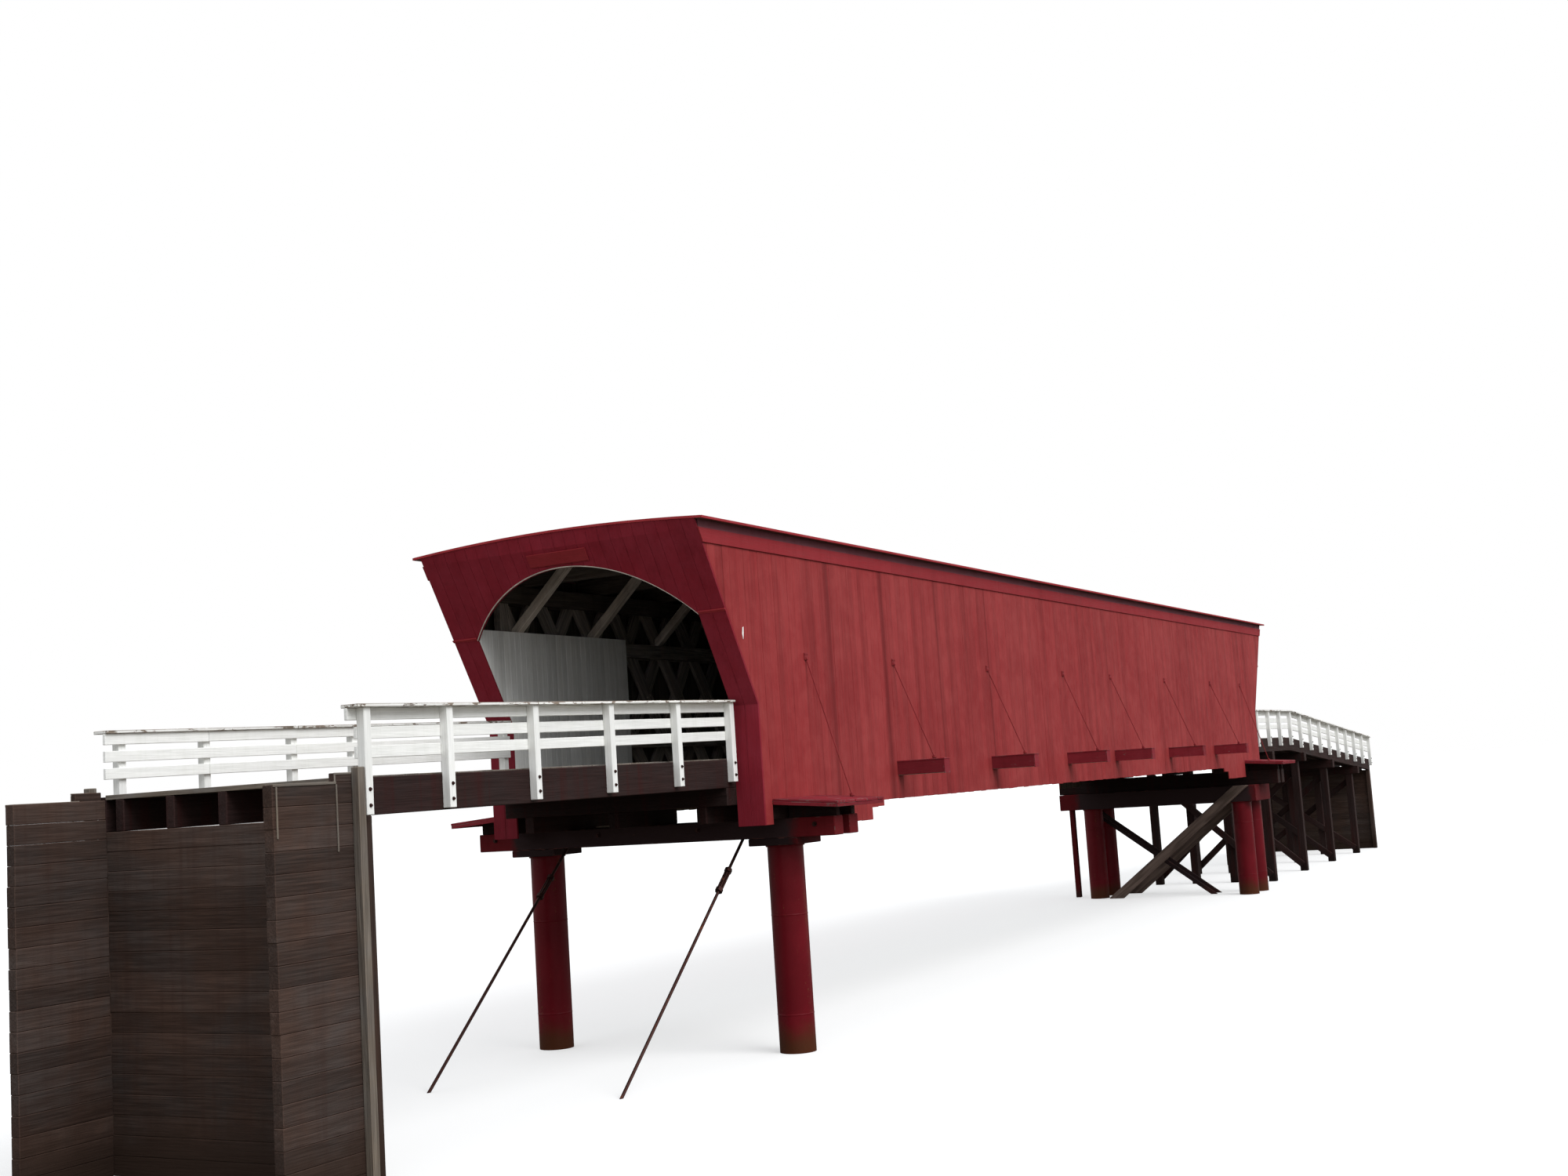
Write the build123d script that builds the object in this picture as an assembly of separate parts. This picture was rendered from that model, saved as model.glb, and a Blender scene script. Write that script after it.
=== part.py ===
from build123d import *
import math
import os

# Covered timber bridge with its two railed approaches, as a 1:2 scale model.
# All sizes are millimetres of the model: the real bridge measures twice as much.
# While it is drawn, X runs along the road from the near portal, Y is to the left
# of the road, and Z is height above the lowest ground under the far pier.

# Covered span
span = 16300                    # between the upright faces of the two portals
bay_count = 28                  # lattice bays in the span
wall_to_wall = 2695             # outside of one side wall to outside of the other
siding_thickness = 15
chord_thickness = 75
plank_thickness = 37.5
lining_thickness = 10

# Heights
bottom_chord_base = 2025
bottom_chord_depth = 150
floor_beam_depth = 125
joist_depth = 70
deck_thickness = 30
top_chord_base = 3900
top_chord_depth = 150
tie_beam_depth = 128            # at the walls, where the roof's curve starts

# Lattice
lattice_rows = 4                # rows of diamonds between floor beams and top chord
spare_rows = 2                  # rows drawn past the truss at top and bottom, then cut away
plank_width = 140
middle_chord_depth = 130
end_post_width = 125

# Floor
floor_beam_width = 100
outrigger_reach = 462           # how far an outrigger stands out from the wall
outrigger_bays = (4, 8, 12, 15, 19, 23)    # bays, counted from none, with an outrigger
cover_thickness = 10
joist_count = 5
joist_width = 50
joist_pitch = 500
deck_edge_gap = 7.5

# Portals
knee_rise = 417                 # from the deck up to where the portal rakes outwards
rake_reach = 787                # how far the rake carries the wall top outwards
portal_thickness = 20
portal_drop = 175               # of the portal's legs, below the bottom chords
arch_rise = 480
crown_margin = 30               # from the arch's crown up to the top chords' tops
band_height = 20
band_proud = 12
band_margin = 5                 # above the arch's spring
board_width = 575
board_height = 100
board_margin = 25               # above the arch's crown
board_proud = 12
header_depth = 110

# Siding, whose lower edge steps near the piers: each drop is below the bottom chords
siding_drop = 60
corner_strip_end = 140
recess_end = 980
recess_rise = 10                # above the bottom chords' undersides, over the pier roof
long_strip_end = 1975
long_strip_drop = 225
short_strip_end = 2225
short_strip_drop = 115
frieze_depth = 113
frieze_thickness = 12

# Lining inside the entrances
lining_margin = 100             # above the arch's spring
lining_length = 1850

# Roof
tie_beam_width = 100
knee_brace_width = 75
knee_brace_depth = 75
knee_brace_angle = 42.6
roof_camber = 60
purlin_depth = 58
purlin_width = 75
purlin_count = 7
purlin_pitch = 430
roof_thickness = 20
roof_overhang = 77
roof_reach = 832                # roof end beyond the upright portal face
edge_trim_thickness = 12

# Sway rods
sway_rod_radius = 8
sway_rod_rise = 825             # from the deck up to the wall plates
sway_rod_foot_reach = 352
sway_plate_size = 60
sway_plate_thickness = 8
end_rod_bay = 1                 # bay with the rods over the pier roofs

# Near pier, two round steel columns
pier_centre = 560               # from the portal face to the pier's middle
column_radius = 150
column_spread = 1205
bolster_length = 455
bolster_depth = 60
pier_timber_width = 155
pier_timber_gap = 115
pier_timber_depth = 155
pier_timber_half_length = 1785
stay_rod_radius = 13
stay_rod_y = 885
stay_rod_foot = 1540            # before the portal, where the rod meets the bank
turnbuckle_radius = 26
turnbuckle_start = 360
turnbuckle_length = 215

# Far pier, two rows of round piles like the near pier's columns
pile_row_gap = 600
far_cap_depth = 250
far_cap_right_reach = 1480
far_cap_left_reach = 1710
prop_post_size = 80
prop_post_y = 1665
wide_brace_depth = 150
wide_brace_thickness = 50
wide_brace_foot = 880           # from the middle, on the left, at the ground
wide_brace_head = 1265          # from the middle, on the right, at the cap's top
thin_brace_depth = 60
thin_brace_thickness = 40
thin_brace_foot = 610           # from the middle, on the right, at the ground
thin_brace_head = 1320          # from the middle, on the left, at the cap's underside

# Bearing timbers under the chords at the piers
bearing_depth = 135
bearing_end = 1950

# Small roofs over the pier ends
ledge_reach = 582
ledge_wall_rise = 30            # above the bottom chords' undersides
ledge_fall = 45
ledge_board = 20
ledge_fascia = 48
ledge_fascia_thickness = 15
ledge_bracket_width = 60

# Approaches
approach_half_width = 1100      # to the inner face of the rail posts
approach_gap = 3
edge_beam_width = 75
edge_beam_depth = 225
stringer_count = 5
stringer_width = 75
stringer_pitch = 450
seat_length = 150
seat_depth = 140
corbel_count = 3
corbel_width = 90
corbel_pitch = 850
near_fall = 20
near_level = 200                # level stretch of the near approach over its seat
far_fall = 525
far_level_bays = 4
abutment_thickness = 75
wing_wall_end = 5100
wing_wall_rise = 185            # above the seats
abutment_post_width = 110

# Railings
post_size = 60
rail_height = 72
rail_pitch = 113
rail_thickness = 25
rail_count = 3
rail_cap_thickness = 20
rail_cap_width = 130
rail_cap_rise = 465             # above the deck
railing_gap = 40                # from the raked portal to the nearest rail post
near_rail_fall = 65
near_post_last_bay = 810
near_post_pitch = 904
near_post_first_bay = 758.5
left_post_steps = (870, 1979, 2629, 3470, 4200)    # before the portal, on the near left railing
left_rail_end = 4360
near_post_rise = 48             # of the near posts' feet, above the seats
near_rail_run_past = 150        # of the right railing's cap and top board, past its end post
far_length = 10503.5            # from the span to the far approach's end
far_post_count = 14
far_post_rise = 90              # of the far posts' feet, above the seats

# Trestle bents under the far approach
first_bent = 2                  # rail post over the first bent, counted from none
bent_spacing = 3                # rail posts from one bent to the next
bent_cap_size = 150
bent_cap_half_length = 1175
bent_post_size = 125
bent_outer_spread = 975
bent_inner_spread = 330
bent_brace_depth = 110
bent_brace_thickness = 40

iron_sides = 6                  # flats round each iron rod
overrun = 50                    # how far a piece or a cut is drawn past its trimmed end

# Heights and places worked out from the sizes above
bay = span / bay_count
outer_wall = wall_to_wall / 2
outer_chord_face = outer_wall - siding_thickness
lattice_face = outer_chord_face - chord_thickness
lattice_inner_face = lattice_face - 2 * plank_thickness
inner_chord_face = lattice_inner_face - chord_thickness
lining_face = inner_chord_face - lining_thickness
floor_beam_base = bottom_chord_base + bottom_chord_depth
floor_beam_top = floor_beam_base + floor_beam_depth
joist_top = floor_beam_top + joist_depth
deck_top = joist_top + deck_thickness
top_chord_top = top_chord_base + top_chord_depth
wall_top = top_chord_top + tie_beam_depth
knee_height = deck_top + knee_rise
portal_base = bottom_chord_base - portal_drop
arch_crown = top_chord_top - crown_margin
arch_spring = arch_crown - arch_rise
band_level = arch_spring + band_margin
board_base = arch_crown + board_margin
lining_top = arch_spring + lining_margin
siding_base = bottom_chord_base - siding_drop
recess_base = bottom_chord_base + recess_rise
long_strip_base = bottom_chord_base - long_strip_drop
short_strip_base = bottom_chord_base - short_strip_drop
ledge_wall_height = bottom_chord_base + ledge_wall_rise
ledge_edge_height = ledge_wall_height - ledge_fall
sway_rod_top = deck_top + sway_rod_rise
beam_middle = floor_beam_base + floor_beam_depth / 2
row_rise = (top_chord_base + top_chord_depth / 2 - beam_middle) / lattice_rows
rake_slope = rake_reach / (wall_top - knee_height)
rake_angle = math.atan(rake_slope)
purlin_base = wall_top
roof_base = purlin_base + purlin_depth
roof_top = roof_base + roof_thickness
roof_half_width = outer_wall + roof_overhang
pier_top = bottom_chord_base - bearing_depth
near_cap_base = pier_top - pier_timber_depth
column_top = near_cap_base - bolster_depth
far_cap_base = column_top - far_cap_depth
seat_top = bottom_chord_base + seat_depth
wing_wall_top = seat_top + wing_wall_rise
rail_cap_top = deck_top + rail_cap_rise
far_post_base = seat_top + far_post_rise
outrigger_half_length = outer_wall + outrigger_reach
half_tie_beam_bays = list(range(0, bay_count // 2, 2))
tie_beam_bays = half_tie_beam_bays + [bay_count - 1 - place for place in half_tie_beam_bays]
rail_setback = (rail_cap_top - knee_height) * rake_slope + railing_gap
end_post_offset = rail_setback + post_size / 2
near_post_places = [-end_post_offset, -end_post_offset - near_post_last_bay]
near_post_places += [near_post_places[1] - near_post_pitch * i for i in (1, 2, 3)]
near_post_places.append(near_post_places[-1] - near_post_first_bay)
near_length = post_size / 2 - near_post_places[-1]
left_post_places = [-end_post_offset] + [-place for place in left_post_steps]
far_end = span + far_length
far_post_pitch = (far_length - end_post_offset - post_size / 2) / (far_post_count - 1)
far_post_places = [span + end_post_offset + far_post_pitch * i for i in range(far_post_count)]
far_break = far_post_places[far_level_bays]
centre_shift = (wing_wall_end - far_end) / 2


def block(x_range, y_range, z_range):
    """A squared timber between two limits on each axis."""
    sizes = [high - low for low, high in (x_range, y_range, z_range)]
    middles = [(high + low) / 2 for low, high in (x_range, y_range, z_range)]
    return Pos(*middles) * Box(*sizes)


def around(middle, width):
    """The two limits of a width set about its middle."""
    return (middle - width / 2, middle + width / 2)


def bay_middle(index):
    """X of the middle of a lattice bay."""
    return (index + 0.5) * bay


def evenly(count, pitch):
    """Places of like timbers, set evenly about the road's middle."""
    return [(index - (count - 1) / 2) * pitch for index in range(count)]


def side_panel(points, y_range):
    """A panel whose outline is drawn in X and Z."""
    outline = Polyline(*[(x, y_range[0], z) for x, z in points], close=True)
    return extrude(make_face(outline), amount=y_range[1] - y_range[0], dir=(0, 1, 0))


def cross_panel(points, x_range):
    """A panel whose outline is drawn in Y and Z."""
    outline = Polyline(*[(x_range[0], y, z) for y, z in points], close=True)
    return extrude(make_face(outline), amount=x_range[1] - x_range[0], dir=(1, 0, 0))


def bar_corners(start, end, width):
    """The four corners of a straight bar between two points of a plane."""
    run, rise = end[0] - start[0], end[1] - start[1]
    length = math.hypot(run, rise)
    side, up = -rise / length * width / 2, run / length * width / 2
    return [
        (start[0] + side, start[1] + up),
        (end[0] + side, end[1] + up),
        (end[0] - side, end[1] - up),
        (start[0] - side, start[1] - up),
    ]


def rod(start, end, radius, sides=None):
    """A straight rod between two points, round unless a number of sides is given."""
    direction = Vector(*end) - Vector(*start)
    section = RegularPolygon(radius, sides) if sides else Circle(radius)
    return extrude(Plane(origin=start, z_dir=direction) * section, amount=direction.length)


def both_sides(piece):
    """A piece and its mirror image across the road's middle."""
    return [piece, mirror(piece, Plane.XZ)]


def both_ends(pieces):
    """Pieces at the near end and their mirror images at the far end."""
    middle = Plane.YZ.offset(span / 2)
    return list(pieces) + [mirror(piece, middle) for piece in pieces]


def save(node, pieces):
    """Write one sub-part, moved so that the model's base is centred on the origin."""
    solids = []
    for piece in pieces if isinstance(pieces, list) else [pieces]:
        solids += [Pos(centre_shift, 0, 0) * solid for solid in piece.solids()]
    shape = solids[0] if len(solids) == 1 else Compound(children=solids)
    export_step(shape, os.path.join("parts", node + ".step"))


def portal_x(z, depth=0):
    """X of the near portal's face at a height, or of a layer some depth behind it."""
    bend = knee_height + depth * math.tan(rake_angle / 2)
    if z <= bend:
        return depth
    return depth / math.cos(rake_angle) - (z - knee_height) * rake_slope


def portal_line(z_low, z_high, depth=0):
    """The portal's profile between two heights, with its knee where it has one."""
    bend = knee_height + depth * math.tan(rake_angle / 2)
    heights = [z_low] + [bend] * (z_low < bend < z_high) + [z_high]
    return [(portal_x(z, depth), z) for z in heights]


def mirrored(points):
    """A near-end profile carried over to the far end, in reverse order."""
    return [(span - x, z) for x, z in reversed(points)]


def near_drop(x):
    """How far the near approach has fallen at a place before the portal."""
    return near_fall * max(0, -x - near_level) / (near_length - near_level)


def far_drop(x):
    """How far the far approach has fallen at a place beyond the span."""
    return far_fall * max(0, x - far_break) / (far_end - far_break)


def rail_drop(x):
    """How far the near railing has fallen at a place before the portal."""
    return near_rail_fall * max(0, -x) / near_length


def sloped_strip(x_low, x_high, z_low, z_high, y_range, drop):
    """A strip along the road that follows an approach's slope."""
    breaks = [place for place in (-near_level, far_break) if x_low < place < x_high]
    places = [x_low] + breaks + [x_high]
    upper = [(x, z_high - drop(x)) for x in places]
    lower = [(x, z_low - drop(x)) for x in reversed(places)]
    return side_panel(upper + lower, y_range)


def siding():
    """The boarded skin of the right side wall, with slots for the outriggers."""
    upper = portal_line(portal_base, wall_top, portal_thickness)
    lower = [
        (corner_strip_end, portal_base),
        (corner_strip_end, recess_base),
        (recess_end, recess_base),
        (recess_end, long_strip_base),
        (long_strip_end, long_strip_base),
        (long_strip_end, short_strip_base),
        (short_strip_end, short_strip_base),
        (short_strip_end, siding_base),
    ]
    far_lower = [(span - x, z) for x, z in lower]
    outline = upper + mirrored(upper) + far_lower + list(reversed(lower))
    skin = side_panel(outline, (-outer_wall, -outer_chord_face))
    for place in outrigger_bays:
        skin -= block(
            around(bay_middle(place), floor_beam_width),
            (-outer_wall - overrun, -outer_chord_face + overrun),
            (floor_beam_base, floor_beam_top),
        )
    return skin


def frieze():
    """The board along the top of the right side wall."""
    near = portal_line(wall_top - frieze_depth, wall_top)
    return side_panel(near + mirrored(near), (-outer_wall - frieze_thickness, -outer_wall))


def lattice():
    """The crossed planks of the right truss, two layers fused where they cross."""
    left_end = portal_thickness + end_post_width
    window = Pos(span / 2, (bottom_chord_base + top_chord_top) / 2) * Rectangle(
        span - 2 * left_end, top_chord_top - bottom_chord_base
    )
    layers = []
    for lean, low in ((1, -lattice_face), (-1, -lattice_face + plank_thickness)):
        planks = []
        run = lean * bay / 2
        head_row = lattice_rows + spare_rows
        for place in range(-lattice_rows, bay_count + lattice_rows + 1):
            start = (bay * place - run * spare_rows, beam_middle - row_rise * spare_rows)
            end = (bay * place + run * head_row, beam_middle + row_rise * head_row)
            planks.append(make_face(Polyline(*bar_corners(start, end, plank_width), close=True)))
        sheet = Sketch() + planks
        sheet = sheet & window
        drawn = Plane(origin=(0, low, 0), x_dir=(1, 0, 0), z_dir=(0, -1, 0)) * sheet
        layers.append(extrude(drawn, amount=plank_thickness, dir=(0, 1, 0)))
    return layers[0] + layers[1]


def chord_pair(z_low, z_high):
    """Two timbers, one each side of the right lattice, cut to the portal's slope."""
    near = portal_line(z_low, z_high, portal_thickness)
    outline = near + mirrored(near)
    return [
        side_panel(outline, (-outer_chord_face, -lattice_face)),
        side_panel(outline, (-lattice_inner_face, -inner_chord_face)),
    ]


def end_post():
    """The upright post at the near end of the right truss and its raked brace."""
    inner = portal_thickness + end_post_width
    face = portal_line(bottom_chord_base, top_chord_top, portal_thickness)
    back = portal_line(knee_height, top_chord_top, portal_thickness + end_post_width / 2)
    brace_back = [point for point in reversed(back) if point[0] < portal_thickness]
    outline = face + brace_back
    foot = knee_height + (portal_thickness + end_post_width / 2) * math.tan(rake_angle / 2)
    meet = foot + (end_post_width / 2) / rake_slope
    outline += [(portal_thickness, meet), (portal_thickness, top_chord_top)]
    outline += [(inner, top_chord_top), (inner, bottom_chord_base)]
    return side_panel(outline, (-lattice_face, -lattice_inner_face))


def outrigger_cover(place):
    """Red boards boxing in the right end of one outrigger."""
    x_range = around(bay_middle(place), floor_beam_width + 2 * cover_thickness)
    shell = block(
        x_range,
        (-outrigger_half_length - cover_thickness, -outer_wall),
        (floor_beam_base, floor_beam_top + cover_thickness),
    )
    return shell - block(
        around(bay_middle(place), floor_beam_width),
        (-outrigger_half_length, 0),
        (floor_beam_base - overrun, floor_beam_top),
    )


def sway_rod(place, seat_height):
    """An iron rod from a plate on the right wall down to an outrigger's end."""
    x = bay_middle(place)
    plate = block(
        around(x, sway_plate_size),
        (-outer_wall - sway_plate_thickness, -outer_wall),
        around(sway_rod_top, sway_plate_size),
    )
    lean = sway_rod_foot_reach / (sway_rod_top - seat_height)
    foot = (x, -outer_wall - sway_rod_foot_reach - lean * overrun, seat_height - overrun)
    bar = rod((x, -outer_wall, sway_rod_top), foot, sway_rod_radius, iron_sides)
    space = block(
        around(x, sway_plate_size),
        (-outer_wall - outrigger_reach, -outer_wall),
        (seat_height, sway_rod_top + sway_plate_size / 2),
    )
    return (bar & space) + plate


def knee_brace(place):
    """A brace from the right truss up to a tie beam, on the beam's face towards the portal."""
    slope = math.tan(math.radians(knee_brace_angle))
    half = knee_brace_depth / 2 / math.cos(math.radians(knee_brace_angle))
    level = lining_top + half
    low = (-outer_wall, level - (outer_wall - inner_chord_face) * slope)
    high = (0, level + inner_chord_face * slope)
    side = -1 if place < bay_count / 2 else 1
    offset = side * (tie_beam_width + knee_brace_width) / 2
    x_range = around(bay_middle(place) + offset, knee_brace_width)
    bar = cross_panel(bar_corners(low, high, knee_brace_depth), x_range)
    return bar & block(x_range, (-lattice_inner_face, 0), (knee_brace_rest(), wall_top))


def knee_brace_rest():
    """Height of the upper middle chord's top, where the knee braces stand."""
    return middle_chord_middles()[1] + middle_chord_depth / 2


def middle_chord_middles():
    """Heights of the two pairs of middle chords, on the lattice's crossings."""
    return [beam_middle + row_rise, beam_middle + (lattice_rows - 1) * row_rise]


def camber(y, half_width):
    """Rise of the roof's curve at a distance from the middle."""
    return roof_camber * (1 - (y / half_width) ** 2)


def cambered(half_width, z_low, z_high, x_range, flat_base=False):
    """A timber or board across the road with the roof's curve on its top."""
    edge = camber(half_width, roof_half_width)
    top = ThreePointArc(
        (x_range[0], -half_width, z_high + edge),
        (x_range[0], 0, z_high + roof_camber),
        (x_range[0], half_width, z_high + edge),
    )
    if flat_base:
        base = Line((x_range[0], half_width, z_low), (x_range[0], -half_width, z_low))
    else:
        base = ThreePointArc(
            (x_range[0], half_width, z_low + edge),
            (x_range[0], 0, z_low + roof_camber),
            (x_range[0], -half_width, z_low + edge),
        )
    sides = [Line(top @ 1, base @ 0), Line(base @ 1, top @ 0)]
    face = make_face(Curve() + [top, base] + sides)
    return extrude(face, amount=x_range[1] - x_range[0], dir=(1, 0, 0))


def portal():
    """The near portal's boarding, upright legs and raked head, with its arched opening."""
    outer = portal_line(portal_base, wall_top)
    inner = portal_line(portal_base, wall_top, portal_thickness)
    boarding = side_panel(outer + list(reversed(inner)), (-outer_wall, outer_wall))
    head_range = (-rake_reach, portal_thickness - rake_reach)
    boarding += cambered(outer_wall, wall_top, roof_base, head_range, flat_base=True)
    rise = arch_crown - arch_spring
    arch_radius = (lining_face**2 + rise**2) / (2 * rise)
    reach = 2 * (rake_reach + portal_thickness)
    width = (-lining_face, lining_face)
    passage = block((-reach, reach), width, (portal_base - overrun, arch_spring))
    vault = Pos(0, 0, arch_crown - arch_radius) * Rot(0, 90, 0) * Cylinder(arch_radius, 2 * reach)
    vault &= block((-reach, reach), width, (arch_spring - overrun, arch_crown + overrun))
    return boarding - (passage + vault)


def portal_band():
    """The moulding across the near portal's right leg."""
    low, high = band_level, band_level + band_height
    outline = [
        (portal_x(low), low),
        (portal_x(high), high),
        (portal_x(high, -band_proud), high),
        (portal_x(low, -band_proud), low),
    ]
    return side_panel(outline, (-outer_wall, -lining_face))


def name_board():
    """A blank board over the near portal's arch."""
    low, high = board_base, board_base + board_height
    outline = [
        (portal_x(low), low),
        (portal_x(high), high),
        (portal_x(high, -board_proud), high),
        (portal_x(low, -board_proud), low),
    ]
    return side_panel(outline, around(0, board_width))


def portal_header():
    """The beam behind the near portal's head, resting on the top chords."""
    low, high = top_chord_top, top_chord_top + header_depth
    outline = [
        (portal_x(low, portal_thickness), low),
        (portal_x(high, portal_thickness), high),
        (portal_x(high, portal_thickness) + tie_beam_width, high),
        (portal_x(low, portal_thickness) + tie_beam_width, low),
    ]
    return side_panel(outline, (-outer_chord_face, outer_chord_face))


def entrance_lining():
    """White boards inside the near entrance, on the right."""
    near = portal_line(deck_top, lining_top, portal_thickness)
    outline = near + [(lining_length, lining_top), (lining_length, deck_top)]
    return side_panel(outline, (-inner_chord_face, -lining_face))


def pier_ledge():
    """The small roof over the near pier's right end, with its brackets."""
    wall, tip = -outer_wall, -outer_wall - ledge_reach
    outline = [
        (wall, ledge_wall_height),
        (tip, ledge_edge_height),
        (tip, ledge_edge_height - ledge_fascia),
        (tip + ledge_fascia_thickness, ledge_edge_height - ledge_fascia),
        (tip + ledge_fascia_thickness, ledge_edge_height - ledge_board),
        (wall, ledge_wall_height - ledge_board),
    ]
    ledge = cross_panel(outline, (corner_strip_end, recess_end))
    cheek = [
        (wall, ledge_wall_height - ledge_board),
        (tip + ledge_fascia_thickness, ledge_edge_height - ledge_board),
        (tip + ledge_fascia_thickness, ledge_edge_height - ledge_fascia),
        (wall, ledge_wall_height - ledge_fascia),
    ]
    ledge += cross_panel(cheek, (corner_strip_end, corner_strip_end + ledge_fascia_thickness))
    ledge += cross_panel(cheek, (recess_end - ledge_fascia_thickness, recess_end))
    end = -pier_timber_half_length
    end_height = ledge_wall_height - ledge_board - ledge_fall * (end - wall) / (tip - wall)
    bracket = [
        (wall, ledge_wall_height - ledge_board),
        (end, end_height),
        (end, pier_top),
        (wall, pier_top),
    ]
    for middle in pier_timber_middles():
        ledge += cross_panel(bracket, around(middle, ledge_bracket_width))
    return ledge


def pier_timber_middles():
    """X of the middles of the near pier's two cap timbers."""
    offset = (pier_timber_width + pier_timber_gap) / 2
    return [pier_centre - offset, pier_centre + offset]


def near_stay(side):
    """A stay rod with its turnbuckle, from a cap timber back down to the bank."""
    top = Vector(pier_timber_middles()[0], side * stay_rod_y, near_cap_base)
    foot = Vector(-stay_rod_foot, side * stay_rod_y, 0)
    along = (foot - top).normalized()
    bar = rod(top - along * overrun, foot + along * overrun, stay_rod_radius, iron_sides)
    x_range = (-stay_rod_foot - overrun, pier_centre)
    bar &= block(x_range, around(side * stay_rod_y, overrun), (0, near_cap_base))
    start = top + along * turnbuckle_start
    end = start + along * turnbuckle_length
    return bar + rod(start, end, turnbuckle_radius, iron_sides)


def far_pier_piles():
    """Round piles under the far pier's cap and the squared prop under its left end."""
    piles = []
    for x in around(span - pier_centre, pile_row_gap):
        for y in (-column_spread, column_spread):
            piles.append(rod((x, y, 0), (x, y, far_cap_base), column_radius))
    piles.append(block(
        around(span - pier_centre, prop_post_size),
        around(prop_post_y, prop_post_size),
        (0, far_cap_base),
    ))
    return piles


def brace_board(foot, head, top, depth, x_range):
    """A board leaning across the far pier, cut level at the ground and at a height."""
    lean = (head - foot) / top
    corners = bar_corners(
        (foot - lean * overrun, -overrun),
        (head + lean * overrun, top + overrun),
        depth,
    )
    reach = column_spread + 2 * column_radius
    return cross_panel(corners, x_range) & block(x_range, (-reach, reach), (0, top))


def far_pier_braces():
    """Wide boards outside both rows of piles and thin ones inside, leaning the other way."""
    braces = []
    for side, row in zip((-1, 1), around(span - pier_centre, pile_row_gap)):
        outside = row + side * (column_radius + wide_brace_thickness / 2)
        inside = row - side * (column_radius + thin_brace_thickness / 2)
        braces.append(brace_board(
            wide_brace_foot, -wide_brace_head, column_top, wide_brace_depth,
            around(outside, wide_brace_thickness),
        ))
        braces.append(brace_board(
            -thin_brace_foot, thin_brace_head, far_cap_base, thin_brace_depth,
            around(inside, thin_brace_thickness),
        ))
    return braces


def railing_y():
    """Y limits of a right-hand rail, behind the inner face of its posts."""
    return (-approach_half_width, -approach_half_width + rail_thickness)


def railing(places, post_base, drop, base_drop, rail_range, run_past=0):
    """A right-hand railing: posts outside, rails inside, fused where they meet."""
    frame = None
    for place in places:
        x_low, x_high = around(place, post_size)
        foot = post_base - base_drop(place)
        head = rail_cap_top - rail_cap_thickness
        outline = [
            (x_low, foot),
            (x_low, head - drop(x_low)),
            (x_high, head - drop(x_high)),
            (x_high, foot),
        ]
        post = side_panel(outline, (-approach_half_width - post_size, -approach_half_width))
        frame = post if frame is None else frame + post
    for row in range(rail_count):
        high = rail_cap_top - rail_cap_thickness - row * rail_pitch
        start = rail_range[0] - (run_past if row == 0 else 0)
        frame += sloped_strip(start, rail_range[1], high - rail_height, high, railing_y(), drop)
    return frame


def rail_cap(x_low, x_high, drop):
    """The flat plank on top of a right-hand railing."""
    outer = approach_half_width + post_size + (rail_cap_width - post_size - rail_thickness) / 2
    return sloped_strip(
        x_low, x_high, rail_cap_top - rail_cap_thickness, rail_cap_top,
        (-outer, -outer + rail_cap_width), drop,
    )


def bents():
    """Posts, caps and braces of the trestle under the far approach."""
    posts, caps, braces = [], [], []
    for index in range(first_bent, far_post_count, bent_spacing):
        x = far_post_places[index]
        x_range = around(x, bent_cap_size)
        top = [(place, seat_top - far_drop(place)) for place in x_range]
        base = seat_top - far_drop(x) - bent_cap_size
        caps.append(side_panel(
            top + [(x_range[1], base), (x_range[0], base)],
            (-bent_cap_half_length, bent_cap_half_length),
        ))
        for y in (-bent_outer_spread, -bent_inner_spread, bent_inner_spread, bent_outer_spread):
            posts.append(block(around(x, bent_post_size), around(y, bent_post_size), (0, base)))
        near_face, far_face = around(x, bent_post_size)
        for side, x_low in ((1, near_face - bent_brace_thickness), (-1, far_face)):
            corners = bar_corners(
                (side * bent_outer_spread, base - bent_brace_depth),
                (-side * bent_outer_spread, bent_brace_depth),
                bent_brace_depth,
            )
            braces.append(cross_panel(corners, (x_low, x_low + bent_brace_thickness)))
    return posts, caps, braces


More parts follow.
